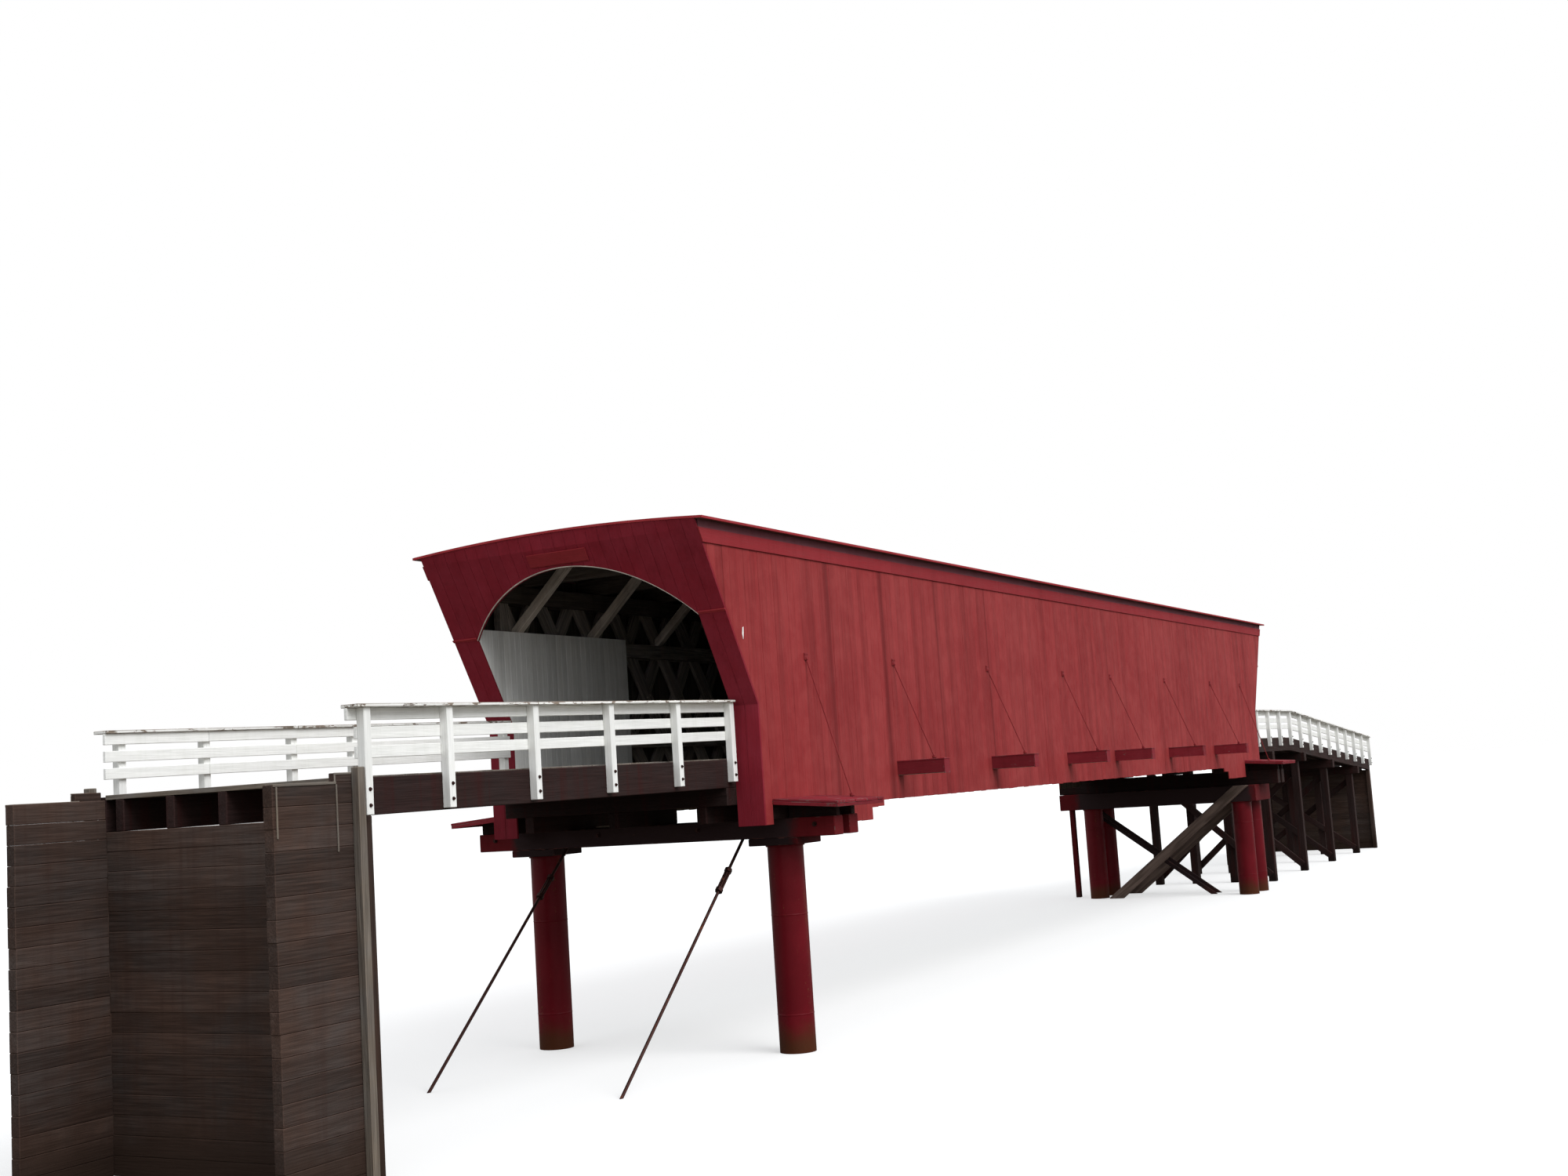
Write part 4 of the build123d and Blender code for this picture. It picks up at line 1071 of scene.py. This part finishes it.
def lattice(seed, side):
    """The crossed planks of one truss, with the pegs that hold them."""
    timbers, pegs = Timbers(seed, shaded_tones), Timbers(seed + 1)
    name = side_name(side) + "_lattice"
    rows, rows_below, rows_above = 4, 2, 6
    half_width = 0.070
    peg_radius, peg_spread, peg_proud, peg_depth = 0.011, 0.024, 0.005, 0.004
    box_low, box_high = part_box(name)
    thickness = (box_high.y - box_low.y) / 2
    outer = max(abs(box_low.y), abs(box_high.y))
    beam_middle = (beam_base + beam_top) / 2
    rise = ((box_high.z + low("top_chords").z) / 2 - beam_middle) / rows
    limits = ((0, box_low.x, True), (0, box_high.x, False), (1, box_low.z, True), (1, box_high.z, False))
    for lean, layer in ((1, 0), (-1, 1)):
        run = lean * bay / 2
        length = math.hypot(run, rise)
        across = (-rise / length * half_width, run / length * half_width)
        y = side * (outer - layer * thickness)
        for place in range(-rows, bay_count + rows + 1):
            x = near_face + bay * place
            foot = (x - rows_below * run, beam_middle - rows_below * rise)
            head = (x + rows_above * run, beam_middle + rows_above * rise)
            outline = [(end[0] + way * across[0], end[1] + way * across[1])
                       for end, way in ((foot, 1), (head, 1), (head, -1), (foot, -1))]
            for limit in limits:
                outline = clipped(outline, *limit)
            if len(outline) > 2:
                points = [(x, y, z) for x, z in outline]
                timbers.prism(points, (0, -side * thickness, 0), (run, 0, rise))
    face = side * (outer - 2 * thickness)
    for row in range(rows + 1):
        z = beam_middle + row * rise
        for place in range(bay_count + 1):
            x = near_face + bay * (place + (row % 2) / 2)
            if box_low.x + half_width < x < box_high.x - half_width:
                for offset in (-peg_spread, peg_spread):
                    pegs.rod((x + offset, face + side * peg_depth, z + offset / 2),
                             (x + offset, face - side * peg_proud, z + offset / 2), peg_radius, small_sides)
    timbers.build(name + "_planks", "inner_timber", [name], plank_edge)
    pegs.build(name + "_pegs", "inner_timber")


def planks_across(timbers, start, end, half_width, drop, sizes):
    """Planks laid across the road, on a level or sloping stretch."""
    uneven_lift, uneven_start, uneven_end = 0.0012, 0.004, 0.003
    for left, right in boards(start, end, sizes.deck_plank, sizes.seam):
        lift, trim = timbers.vary(uneven_lift), timbers.vary(uneven_start)
        left_top, right_top = deck_top - drop(left) + lift, deck_top - drop(right) + lift
        ring = [(left, left_top), (right, right_top), (right, right_top - deck_thickness),
                (left, left_top - deck_thickness)]
        points = [(x, -half_width + trim, z) for x, z in ring]
        reach = 2 * half_width - trim + timbers.vary(uneven_end)
        timbers.prism(points, (0, reach, 0), across_road)


def decks(seed, sizes):
    """The planks of the road, on the span and on both approaches."""
    timbers, approach = Timbers(seed), Timbers(seed + 1)
    half, approach_half = high("main_deck").y, high("approach_decks").y
    planks_across(timbers, near_face, far_face, half, near_drop, sizes)
    planks_across(approach, near_start, near_face - approach_gap, approach_half, near_drop, sizes)
    planks_across(approach, far_face + approach_gap, far_end, approach_half, far_drop, sizes)
    timbers.build("span_planks", "deck_planks", ["main_deck"], sizes.chamfer)
    approach.build("approach_planks", "deck_planks", ["approach_decks"], sizes.chamfer)


def outrigger_covers(seed):
    """Red boards that box in the outriggers' ends."""
    timbers = Timbers(seed)
    board, overhang, uneven_foot = 0.010, 0.004, 0.006
    for side, tip, box_low, box_high in sided_boxes("outrigger_covers"):
        wall, inner_tip = side * wall_y, tip - side * board
        under = box_high.z - board
        timbers.box((box_low.x - overhang, wall, under),
                    (box_high.x + overhang, tip + side * overhang, box_high.z), across_road)
        for x in (box_low.x, box_high.x - board):
            base = box_low.z + timbers.up_to(uneven_foot)
            timbers.box((x, wall, base), (x + board, inner_tip, under), across_road)
        timbers.box((box_low.x, inner_tip, box_low.z - overhang), (box_high.x, tip, under), along_road)
    timbers.build("outrigger_boxes", "pier_roof_red", ["outrigger_covers"], thin_edge)


def sway_rods(seed):
    """Round iron rods with their wall plates, washers and nuts."""
    plates, rods = Timbers(seed), Timbers(seed + 1)
    plate_thickness, bolt_reach, bolt_radius, rod_radius = 0.008, 0.012, 0.006, 0.005
    bolt_rise, bolt_spread = 0.6, 0.62
    foot_inset = 0.006
    for side, tip, box_low, box_high in sided_boxes("sway_rods"):
        x = (box_low.x + box_high.x) / 2
        half = (box_high.x - box_low.x) / 2
        middle = box_high.z - half
        wall = side * wall_y
        top = Vector((x, wall, middle))
        foot = Vector((x, tip - side * foot_inset, box_low.z))
        lean = (foot - top).normalized()
        plates.box((x - half, wall, middle - half),
                   (x + half, side * (wall_y + plate_thickness), middle + half), along_road)
        rods.rod(top, foot, rod_radius, round_sides)
        upper_nut = (top, 0.012, 0.030, 0.015, iron_flats)
        washer = (foot, -0.012, -0.004, 0.022, washer_sides)
        lower_nut = (foot, -0.030, -0.012, 0.016, iron_flats)
        for end, start_at, end_at, radius, sides in (upper_nut, washer, lower_nut):
            rods.rod(end + lean * start_at, end + lean * end_at, radius, sides)
        bolt_z = middle + half * bolt_rise
        for corner in (-1, 1):
            bolt_x = x + corner * half * bolt_spread
            rods.rod((bolt_x, wall, bolt_z), (bolt_x, side * (wall_y + bolt_reach), bolt_z), bolt_radius,
                     small_sides)
    plates.build("sway_rod_plates", "rod_paint", chamfer=thin_edge)
    rods.build("sway_rod_irons", "rod_paint", ["sway_rods"])


def pier_ledges(seed):
    """The small boarded roofs over the pier ends."""
    timbers, brackets = Timbers(seed), Timbers(seed + 50)
    board_width, board, gap, fall = 0.105, 0.020, 0.003, 0.045
    fascia, fascia_thickness, bracket = 0.048, 0.015, 0.060
    uneven_lift, uneven_end = 0.001, 0.006
    for side, tip, box_low, box_high in sided_boxes("pier_ledges"):
        wall, inner_tip = side * wall_y, tip - side * fascia_thickness
        top, edge = box_high.z, box_high.z - fall
        for left, right in boards(box_low.x, box_high.x, board_width, gap):
            lift = timbers.vary(uneven_lift)
            end = tip + side * timbers.up_to(uneven_end)
            ring = [(wall, top + lift), (end, edge + lift), (end, edge + lift - board),
                    (wall, top + lift - board)]
            timbers.slab(left, right - left, ring, across_road)
        timbers.box((box_low.x, inner_tip, edge - fascia), (box_high.x, tip, edge - board), along_road)
        cheek = [(wall, top - board), (inner_tip, edge - board), (inner_tip, edge - fascia),
                 (wall, top - fascia)]
        for x in (box_low.x, box_high.x - fascia_thickness):
            timbers.slab(x, fascia_thickness, cheek, across_road)
        end = side * high("near_pier_cap").y
        end_height = top - board - fall * (abs(end) - wall_y) / (abs(tip) - wall_y)
        post = [(wall, top - board), (end, end_height), (end, box_low.z), (wall, box_low.z)]
        for x in cap_middles(box_low.x > (near_face + far_face) / 2):
            brackets.slab(x - bracket / 2, bracket, post, across_road)
    timbers.build("pier_roofs", "pier_roof_red", ["pier_ledges"], ledge_edge)
    # The brackets take the near-black treated timber as painted shade under the pier roofs
    brackets.build("pier_roof_brackets", "dark_timber", chamfer=timber_edge)


def cap_middles(far):
    """X of the middles of a pier's two cap timbers."""
    boxes = solid_boxes("far_pier_cross_timbers" if far else "near_pier_cap")
    return sorted((box_low.x + box_high.x) / 2 for box_low, box_high in boxes)


def column(timbers, box_low, box_high):
    """A round steel column with its welded seams and top plate."""
    sides = 48
    seam_levels = (0.30, 1.10)
    seam_profile = ((-0.002, 0), (0, 0), (0.003, 0.002), (0.009, 0.002), (0.012, 0), (0.014, 0))
    plate_profile = ((-0.016, 0), (-0.014, 0), (-0.014, 0.012), (0, 0.012))
    middle = (box_low + box_high) / 2
    radius = (box_high.x - box_low.x) / 2
    profile = [(0.0, 0)]
    profile += [(level + rise, proud) for level in seam_levels for rise, proud in seam_profile]
    profile += [(box_high.z + rise, proud) for rise, proud in plate_profile]
    rings = []
    for z, proud in profile:
        reach = radius + proud
        rings.append([(middle.x + reach * math.cos(turn), middle.y + reach * math.sin(turn), z)
                      for turn in turns_round(sides)])
    timbers.loft(rings, upright, curved=True)


def near_pier(seed, sizes):
    """Round steel columns with their seams, the stays with turnbuckles, and the bolted cap."""
    columns = Timbers(seed)
    for box in solid_boxes("near_pier_columns"):
        column(columns, *box)
    columns.build("pier_columns", "column_paint", ["near_pier_columns"])
    pier_stays(seed + 1)
    framing(seed + 2, ("near_pier_bolsters", "near_pier_cap"), "pier_timber", sizes.timber_chamfer)
    bolts = Timbers(seed + 5)
    from_cap_end, from_road_middle, above_middle = 0.18, 0.5, 0.02
    washer, nut = (0, 0.012, 0.02, round_sides), (0.012, 0.024, 0.013, iron_flats)
    for box_low, box_high in solid_boxes("near_pier_cap"):
        face = box_low.x
        z = (box_low.z + box_high.z) / 2 + above_middle
        for y in (box_low.y + from_cap_end, -from_road_middle, from_road_middle, box_high.y - from_cap_end):
            for inner, outer, radius, sides in (washer, nut):
                bolts.rod((face - outer, y, z), (face - inner, y, z), radius, sides)
    bolts.build("cap_bolts", "dark_iron")


def pier_stays(seed):
    """The two iron stays that tie the near pier back, each with a turnbuckle, cut level at the ground."""
    stays = Timbers(seed)
    stay_radius, stay_sides, bar_radius, bar_spread = 0.013, 14, 0.009, 0.022
    collar_radius, half_collar = 0.032, 0.018
    buckle_start, buckle_end = 0.360, 0.575
    ground_zone, foot_inset = 0.02, 0.009
    for box_low, box_high in solid_boxes("near_pier_stays"):
        y = (box_low.y + box_high.y) / 2
        top = Vector((cap_middles(False)[0], y, box_high.z))
        foot = Vector((box_low.x + foot_inset, y, box_low.z))
        along = (foot - top).normalized()
        start, end = top + along * buckle_start, top + along * buckle_end
        stays.rod(top, foot, stay_radius, stay_sides)
        for shift in (-1, 1):
            side = Vector((0, bar_spread * shift, 0))
            stays.rod(start + side, end + side, bar_radius, small_sides)
        for middle in (start, end):
            stays.rod(middle - along * half_collar, middle + along * half_collar, collar_radius, iron_flats)
        for vert in stays.mesh.verts:
            if vert.co.z < ground_zone:
                vert.co -= along * (vert.co.z / along.z)
    stays.build("stays_and_turnbuckles", "dark_iron", ["near_pier_stays"])


def far_pier(seed, sizes):
    """Steel piles, a prop, caps and braces of the far pier."""
    piles, prop = Timbers(seed), Timbers(seed + 1)
    thickest_prop, thickest_bare_brace = 0.1, 0.045
    for box_low, box_high in solid_boxes("far_pier_piles"):
        if box_high.x - box_low.x < thickest_prop:
            prop.box(box_low, box_high, upright)
        else:
            column(piles, box_low, box_high)
    piles.build("pier_piles", "column_paint", ["far_pier_piles"])
    prop.build("prop_post", "pier_timber", chamfer=sizes.timber_chamfer)
    dress(seed + 2, "far_pier_cap", "pier_timber", sizes.timber_chamfer)
    # The cross beams take the near-black treated timber as painted shade under the far pier's roofs
    cross = Timbers(seed + 3)
    cross.adopt("far_pier_cross_timbers")
    cross.build("far_pier_cross_beams", "dark_timber", ["far_pier_cross_timbers"], sizes.timber_chamfer,
                slot="pier_timber")
    braces = Timbers(seed + 4)
    braces.adopt("far_pier_braces")
    reaches = {}
    for vert in braces.mesh.verts:
        reaches.setdefault(vert[braces.number], []).append(vert.co.x)
    for face in braces.mesh.faces:
        reach = reaches[face.verts[0][braces.number]]
        face[braces.unpainted] = max(reach) - min(reach) > thickest_bare_brace
    braces.build("far_pier_brace_boards", "pier_timber", ["far_pier_braces"], sizes.timber_chamfer)


def post_places(far, side):
    """X of the middles of a railing's posts."""
    if far:
        return [far_face + post_setback + far_post_pitch * step for step in range(far_post_count)]
    return [near_face - place for place in (post_setback, *(left_posts if side > 0 else right_posts))]


def rail_ends(far, side, row):
    """X of the two ends of a railing's cap, row nought, or of a board below it."""
    if far:
        return far_face + post_setback - post_size / 2, far_end
    start = near_start - (rail_run_past if row < 2 else 0)
    if side > 0:
        start = near_face - left_rail_end
    return start, near_face - post_setback + post_size / 2


def sloped_board(timbers, start, end, base, top, y_start, y_end, drop):
    """A board along the road that falls with its approach."""
    clear_of_ends = 0.02
    breaks = [place for place in (far_break, near_face - near_level)
              if start + clear_of_ends < place < end - clear_of_ends]
    section = ((y_start, base), (y_end, base), (y_end, top), (y_start, top))
    rings = [[(x, y, z - drop(x)) for y, z in section] for x in [start, *breaks, end]]
    timbers.loft(rings, along_road)


def railing(seed, side, far):
    """One railing: square posts outside, three boards inside, and its bolts."""
    timbers, bolts = Timbers(seed), Timbers(seed + 1)
    bolt_levels = (0.055, 0.150)
    washer, nut = (0.004, 0.012, round_sides), (0.012, 0.008, iron_flats)
    joint_gap, uneven_post, uneven_board = 0.0024, 0.002, 0.0015
    places = post_places(far, side)
    drop = far_drop if far else rail_drop
    foot_level = seat_top + (far_post_rise if far else near_post_rise)
    head = cap_top - cap_thickness
    face, outer = side * posts_y, side * (posts_y + post_size)
    half = post_size / 2
    for place in places:
        foot = foot_level - drop(place)
        tilt = timbers.vary(uneven_post)
        left, right = place - half + tilt, place + half + tilt
        ring = [(left, face), (right, face), (right, outer), (left, outer)]
        timbers.loft([[(x, y, foot) for x, y in ring], [(x, y, head - drop(x)) for x, y in ring]], upright)
        for z in [foot + level for level in bolt_levels]:
            for reach, radius, sides in (washer, nut):
                bolts.rod((place, outer, z), (place, outer + side * reach, z), radius, sides)
    for row in range(rail_count):
        high_edge = head - row * rail_pitch
        start, end = rail_ends(far, side, row + 1)
        joints = sorted(places)[1 + row % 2:-1:2]
        for left, right in gapped([start, *joints, end], joint_gap):
            shift = timbers.vary(uneven_board)
            sloped_board(timbers, left, right, high_edge - rail_height + shift, high_edge + shift, face,
                         side * (posts_y - rail_thickness), drop)
    name = end_name(far) + "_" + side_name(side)
    timbers.build(name + "_rails_and_posts", "white_railing", [name + "_railing"], timber_edge)
    bolts.build(name + "_rail_bolts", "dark_iron")


def rail_caps(seed):
    """The flat planks on the railings."""
    timbers = Timbers(seed)
    cap_width, joint_gap, uneven_side = 0.130, 0.003, 0.002
    outer = high("rail_caps").y
    inner = outer - cap_width
    for side in (-1, 1):
        for far in (False, True):
            drop = far_drop if far else rail_drop
            start, end = rail_ends(far, side, 0)
            joints = sorted(post_places(far, side))[2:-1:2]
            for left, right in gapped([start, *joints, end], joint_gap):
                y_start, y_end = [side * (y + timbers.vary(uneven_side)) for y in (inner, outer)]
                sloped_board(timbers, left, right, cap_top - cap_thickness, cap_top, y_start, y_end, drop)
    timbers.build("cap_planks", "worn_cap", ["rail_caps"], timber_edge)


def stacked_planks(seed, node, name, along):
    """The walls of a node as planks laid one on another."""
    timbers = Timbers(seed)
    plank_height, gap, uneven_place = 0.125, 0.0008, 0.003
    for start, end in solid_boxes(node):
        for base, top in boards(start.z, end.z, plank_height, gap):
            shift = timbers.vary(uneven_place)
            timbers.box((start.x + shift, start.y, base), (end.x + shift, end.y, top), along)
    timbers.build(name, "grey_timber", [node], beam_edge)


def abutments(seed, sizes):
    """Abutment and wing walls of stacked planks, with their corner posts."""
    stacked_planks(seed, "abutment_walls", "abutment_planks", across_road)
    stacked_planks(seed + 1, "wing_walls", "wing_planks", along_road)
    dress(seed + 2, "abutment_posts", "grey_timber", sizes.timber_chamfer)
    wing_trim(seed + 3)


def wing_trim(seed):
    """The posts, top boards and thin battens outside the near wing walls."""
    posts, light, stubs = Timbers(seed), Timbers(seed + 1), Timbers(seed + 2)
    post_top, stub_top, batten_top, head_base, head_top = 2.432, 2.402, 2.390, 2.392, 2.404
    board, batten, batten_width, end_width = 0.006, 0.008, 0.010, 0.012
    post_width, stub_depth, top_board_depth, gap = 0.058, 0.040, 0.060, 0.003
    stub_length, top_board_inset, head_inset = 0.206, 0.190, 0.064
    below_top, batten_below_top = 0.012, 0.014
    inner_foot, outer_foot = 1.95, 2.05
    wing_low, wing_high = low("wing_walls").x, high("wing_walls").z
    face = high("wing_walls").y
    corner = near_start - gap
    outer_batten, inner_batten = wing_low + 0.020, near_start - 0.195
    stub_start = near_start - stub_length
    batten_head = wing_high - batten_below_top
    parts = (
        (posts, corner - post_width, corner, 0, post_width, 0, post_top, upright),
        (stubs, stub_start, corner, stub_depth, 0, wing_high, stub_top, along_road),
        (light, wing_low + gap, near_start - top_board_inset, top_board_depth, board,
         wing_high - below_top, wing_high + gap, along_road),
        (light, inner_batten, inner_batten + batten_width, 0, batten, inner_foot, batten_head, upright),
        (light, outer_batten, outer_batten + batten_width, 0, batten, outer_foot, batten_head, upright),
        (light, stub_start, near_start - head_inset, 0, board, head_base, head_top, along_road),
        (light, stub_start, stub_start + end_width, 0, board, wing_high, batten_top, upright),
    )
    for side in (-1, 1):
        for timbers, start, end, inwards, outwards, base, top, along in parts:
            timbers.box((start, side * (face - inwards), base), (end, side * (face + outwards), top), along)
    posts.build("wing_posts", "deck_planks", chamfer=beam_edge)
    stubs.build("wing_stubs", "grey_timber", chamfer=beam_edge)
    light.build("wing_battens", "deck_planks", chamfer=thin_edge)


def framing(seed, nodes, finish, chamfer, tones=all_tones):
    """Dress the plain timbers of several nodes."""
    for number, node in enumerate(nodes):
        dress(seed + number, node, finish, chamfer, tones)


def sizes_of(context):
    """The sizes that the panel shows."""
    return context.scene.bridge_sizes


class BRIDGE_OT_side_walls(bpy.types.Operator):
    """Board the two side walls and their friezes"""
    bl_idname = "bridge.side_walls"
    bl_label = "Side walls"

    def execute(self, context):
        for seed, side in ((11, -1), (12, 1)):
            side_wall(seed, side, sizes_of(context))
        frieze_boards(13, sizes_of(context))
        wall_chip(14)
        return {"FINISHED"}


class BRIDGE_OT_portals(bpy.types.Operator):
    """Board the two portals and add their mouldings and bare name boards"""
    bl_idname = "bridge.portals"
    bl_label = "Portals"

    def execute(self, context):
        for seed, far in ((21, False), (22, True)):
            portal_boards(seed, far, sizes_of(context))
        portal_trim(23)
        return {"FINISHED"}


class BRIDGE_OT_linings(bpy.types.Operator):
    """Line both entrances with white boards"""
    bl_idname = "bridge.linings"
    bl_label = "Entrance linings"

    def execute(self, context):
        linings(31, sizes_of(context))
        return {"FINISHED"}


class BRIDGE_OT_roof(bpy.types.Operator):
    """Lay the roof's boards and its edge trim"""
    bl_idname = "bridge.roof"
    bl_label = "Roof"

    def execute(self, context):
        roof(41, sizes_of(context))
        framing(45, ("tie_beams", "portal_headers", "roof_purlins"), "roof_timber", timber_edge)
        # The knee braces take the pale range as painted light from the entrances
        framing(48, ("knee_braces",), "inner_timber", timber_edge, pale_lit_tones)
        framing(49, ("eave_boards",), "eave_red", eave_edge)
        return {"FINISHED"}


class BRIDGE_OT_trusses(bpy.types.Operator):
    """Build the lattice planks and pegs, chords and end posts"""
    bl_idname = "bridge.trusses"
    bl_label = "Lattice trusses"

    def execute(self, context):
        for seed, side in ((51, -1), (53, 1)):
            lattice(seed, side)
        framing(55, ("bottom_chords", "middle_chords", "end_posts"), "inner_timber", beam_edge, shaded_tones)
        framing(58, ("top_chords",), "roof_timber", beam_edge)
        return {"FINISHED"}


class BRIDGE_OT_floor(bpy.types.Operator):
    """Lay the planks of the road and the floor's beams and joists"""
    bl_idname = "bridge.floor"
    bl_label = "Floor"

    def execute(self, context):
        decks(61, sizes_of(context))
        framing(65, ("floor_beams", "outrigger_beams", "deck_joists"), "inner_timber", beam_edge,
                shaded_tones)
        return {"FINISHED"}


class BRIDGE_OT_outriggers(bpy.types.Operator):
    """Box in the outriggers and hang the iron rods"""
    bl_idname = "bridge.outriggers"
    bl_label = "Outriggers and rods"

    def execute(self, context):
        outrigger_covers(71)
        sway_rods(72)
        return {"FINISHED"}


class BRIDGE_OT_piers(bpy.types.Operator):
    """Build both piers and the small roofs over their ends"""
    bl_idname = "bridge.piers"
    bl_label = "Piers"

    def execute(self, context):
        pier_ledges(81)
        near_pier(82, sizes_of(context))
        far_pier(92, sizes_of(context))
        framing(97, ("bearing_timbers", "seat_corbels", "approach_seats"), "dark_timber", treated_edge)
        return {"FINISHED"}


class BRIDGE_OT_approaches(bpy.types.Operator):
    """Build the approaches' beams, abutments and trestle"""
    bl_idname = "bridge.approaches"
    bl_label = "Approaches"

    def execute(self, context):
        framing(101, ("approach_stringers", "approach_edge_beams", "far_bent_posts", "far_bent_caps",
                      "far_bent_braces"), "dark_timber", treated_edge)
        abutments(107, sizes_of(context))
        return {"FINISHED"}


class BRIDGE_OT_railings(bpy.types.Operator):
    """Build the white railings and their caps"""
    bl_idname = "bridge.railings"
    bl_label = "Railings"

    def execute(self, context):
        for number, (side, far) in enumerate(((-1, False), (1, False), (-1, True), (1, True))):
            railing(111 + 2 * number, side, far)
        rail_caps(121)
        return {"FINISHED"}


class BRIDGE_OT_stage(bpy.types.Operator):
    """Set the pale floor, the soft light and the camera"""
    bl_idname = "bridge.stage"
    bl_label = "Floor, light and camera"

    def execute(self, context):
        make_floor()
        make_light()
        make_camera()
        context.scene.view_settings.view_transform = "Standard"
        return {"FINISHED"}


def make_floor():
    """A pale floor that keeps the bridge's shadow."""
    floor_radius, floor_sides = 300, 96
    lit_colour, seen_grey, seen_glow = (0.15, 0.135, 0.11), 0.55, 0.5
    data = bpy.data.meshes.new("floor")
    mesh = bmesh.new()
    bmesh.ops.create_circle(mesh, cap_ends=True, segments=floor_sides, radius=floor_radius)
    mesh.to_mesh(data)
    mesh.free()
    tree, shader = start_material("pale_floor", 0.95)
    seen = add(tree, "LightPath").outputs["Is Camera Ray"]
    colour = blend(tree, seen, opaque(lit_colour), opaque([seen_grey] * 3))
    glow = blend(tree, seen, opaque((0, 0, 0)), opaque([seen_glow] * 3))
    tree.links.new(colour, shader.inputs["Base Color"])
    tree.links.new(glow, shader.inputs["Emission Color"])
    shader.inputs["Emission Strength"].default_value = 1.0
    data.materials.append(bpy.data.materials["pale_floor_finish"])
    floor = put_in_scene("floor", data)


def make_light():
    """Soft light from a pale sky and a broad lamp, with a white background."""
    sky_level, lamp_level, lamp_spread = 0.88, 2.1, math.radians(40)
    towards = Vector((0.18, 0.72, -0.68))
    world = bpy.data.worlds.new("pale_sky")
    bpy.context.scene.world = world
    world.use_nodes = True
    tree = world.node_tree
    tree.nodes.clear()
    light_path = add(tree, "LightPath").outputs
    seen = work(tree, "MAXIMUM", light_path["Is Camera Ray"], light_path["Is Glossy Ray"])
    seen = work(tree, "MAXIMUM", seen, light_path["Is Transmission Ray"])
    soft = add(tree, "Background", {"Color": (0.94, 0.97, 1.0, 1), "Strength": sky_level})
    white = add(tree, "Background", {"Color": (1, 1, 1, 1), "Strength": 1.0})
    mixed = add(tree, "MixShader", {0: seen, 1: soft.outputs[0], 2: white.outputs[0]})
    add(tree, "OutputWorld", {"Surface": mixed.outputs[0]})
    data = bpy.data.lights.new("broad_lamp", "SUN")
    data.energy = lamp_level
    data.angle = lamp_spread
    lamp = put_in_scene("broad_lamp", data)
    lamp.rotation_mode = "QUATERNION"
    lamp.rotation_quaternion = towards.to_track_quat("-Z", "Y")


def make_camera():
    """The camera, at the photograph's place and angle."""
    place = Vector((near_face - 12.4156, -8.2975, 2.175))
    yaw, pitch, roll = 0.4914, 0.1092, -0.0659
    forward = Vector((math.cos(yaw) * math.cos(pitch), math.sin(yaw) * math.cos(pitch), math.sin(pitch)))
    level = Vector((math.sin(yaw), -math.cos(yaw), 0))
    upward = level.cross(forward)
    right = math.cos(roll) * level + math.sin(roll) * upward
    up = math.cos(roll) * upward - math.sin(roll) * level
    data = bpy.data.cameras.new("camera")
    data.sensor_width = 36
    data.lens = 40.75
    data.clip_end = 600
    camera = put_in_scene("camera", data)
    turn = Matrix((right, up, -forward)).transposed().to_4x4()
    camera.matrix_world = Matrix.Translation(place) @ turn
    bpy.context.scene.camera = camera


piece_operators = (
    BRIDGE_OT_side_walls,
    BRIDGE_OT_portals,
    BRIDGE_OT_linings,
    BRIDGE_OT_roof,
    BRIDGE_OT_trusses,
    BRIDGE_OT_floor,
    BRIDGE_OT_outriggers,
    BRIDGE_OT_piers,
    BRIDGE_OT_approaches,
    BRIDGE_OT_railings,
    BRIDGE_OT_stage,
)


class BRIDGE_PT_panel(bpy.types.Panel):
    """Lists the bridge's pieces with their sizes and colours"""
    bl_idname = "BRIDGE_PT_panel"
    bl_label = "Covered bridge"
    bl_space_type = "VIEW_3D"
    bl_region_type = "UI"
    bl_category = "Bridge"

    def draw(self, context):
        for settings in (context.scene.bridge_sizes, context.scene.bridge_colours):
            for name in settings.__annotations__:
                self.layout.prop(settings, name)
        for operator in piece_operators:
            self.layout.operator(operator.bl_idname)


classes = (BridgeSizes, BridgeColours, *piece_operators, BRIDGE_PT_panel)


def register():
    """Make the settings, operators and panel known."""
    for item in classes:
        bpy.utils.register_class(item)
    bpy.types.Scene.bridge_sizes = bpy.props.PointerProperty(type=BridgeSizes)
    bpy.types.Scene.bridge_colours = bpy.props.PointerProperty(type=BridgeColours)


def unregister():
    """Take the settings, operators and panel away."""
    del bpy.types.Scene.bridge_colours
    del bpy.types.Scene.bridge_sizes
    for item in reversed(classes):
        bpy.utils.unregister_class(item)


def main():
    """Build the bridge in order."""
    register()
    for make_group in (make_grain_group, make_tone_group, make_flaking_group, make_run_group,
                       make_patch_group, make_ground_group, make_streak_group, make_end_group):
        make_group()
    make_materials(bpy.context.scene.bridge_colours)
    for operator in piece_operators:
        family, name = operator.bl_idname.split(".")
        getattr(getattr(bpy.ops, family), name)()


if __name__ == "__main__":
    main()
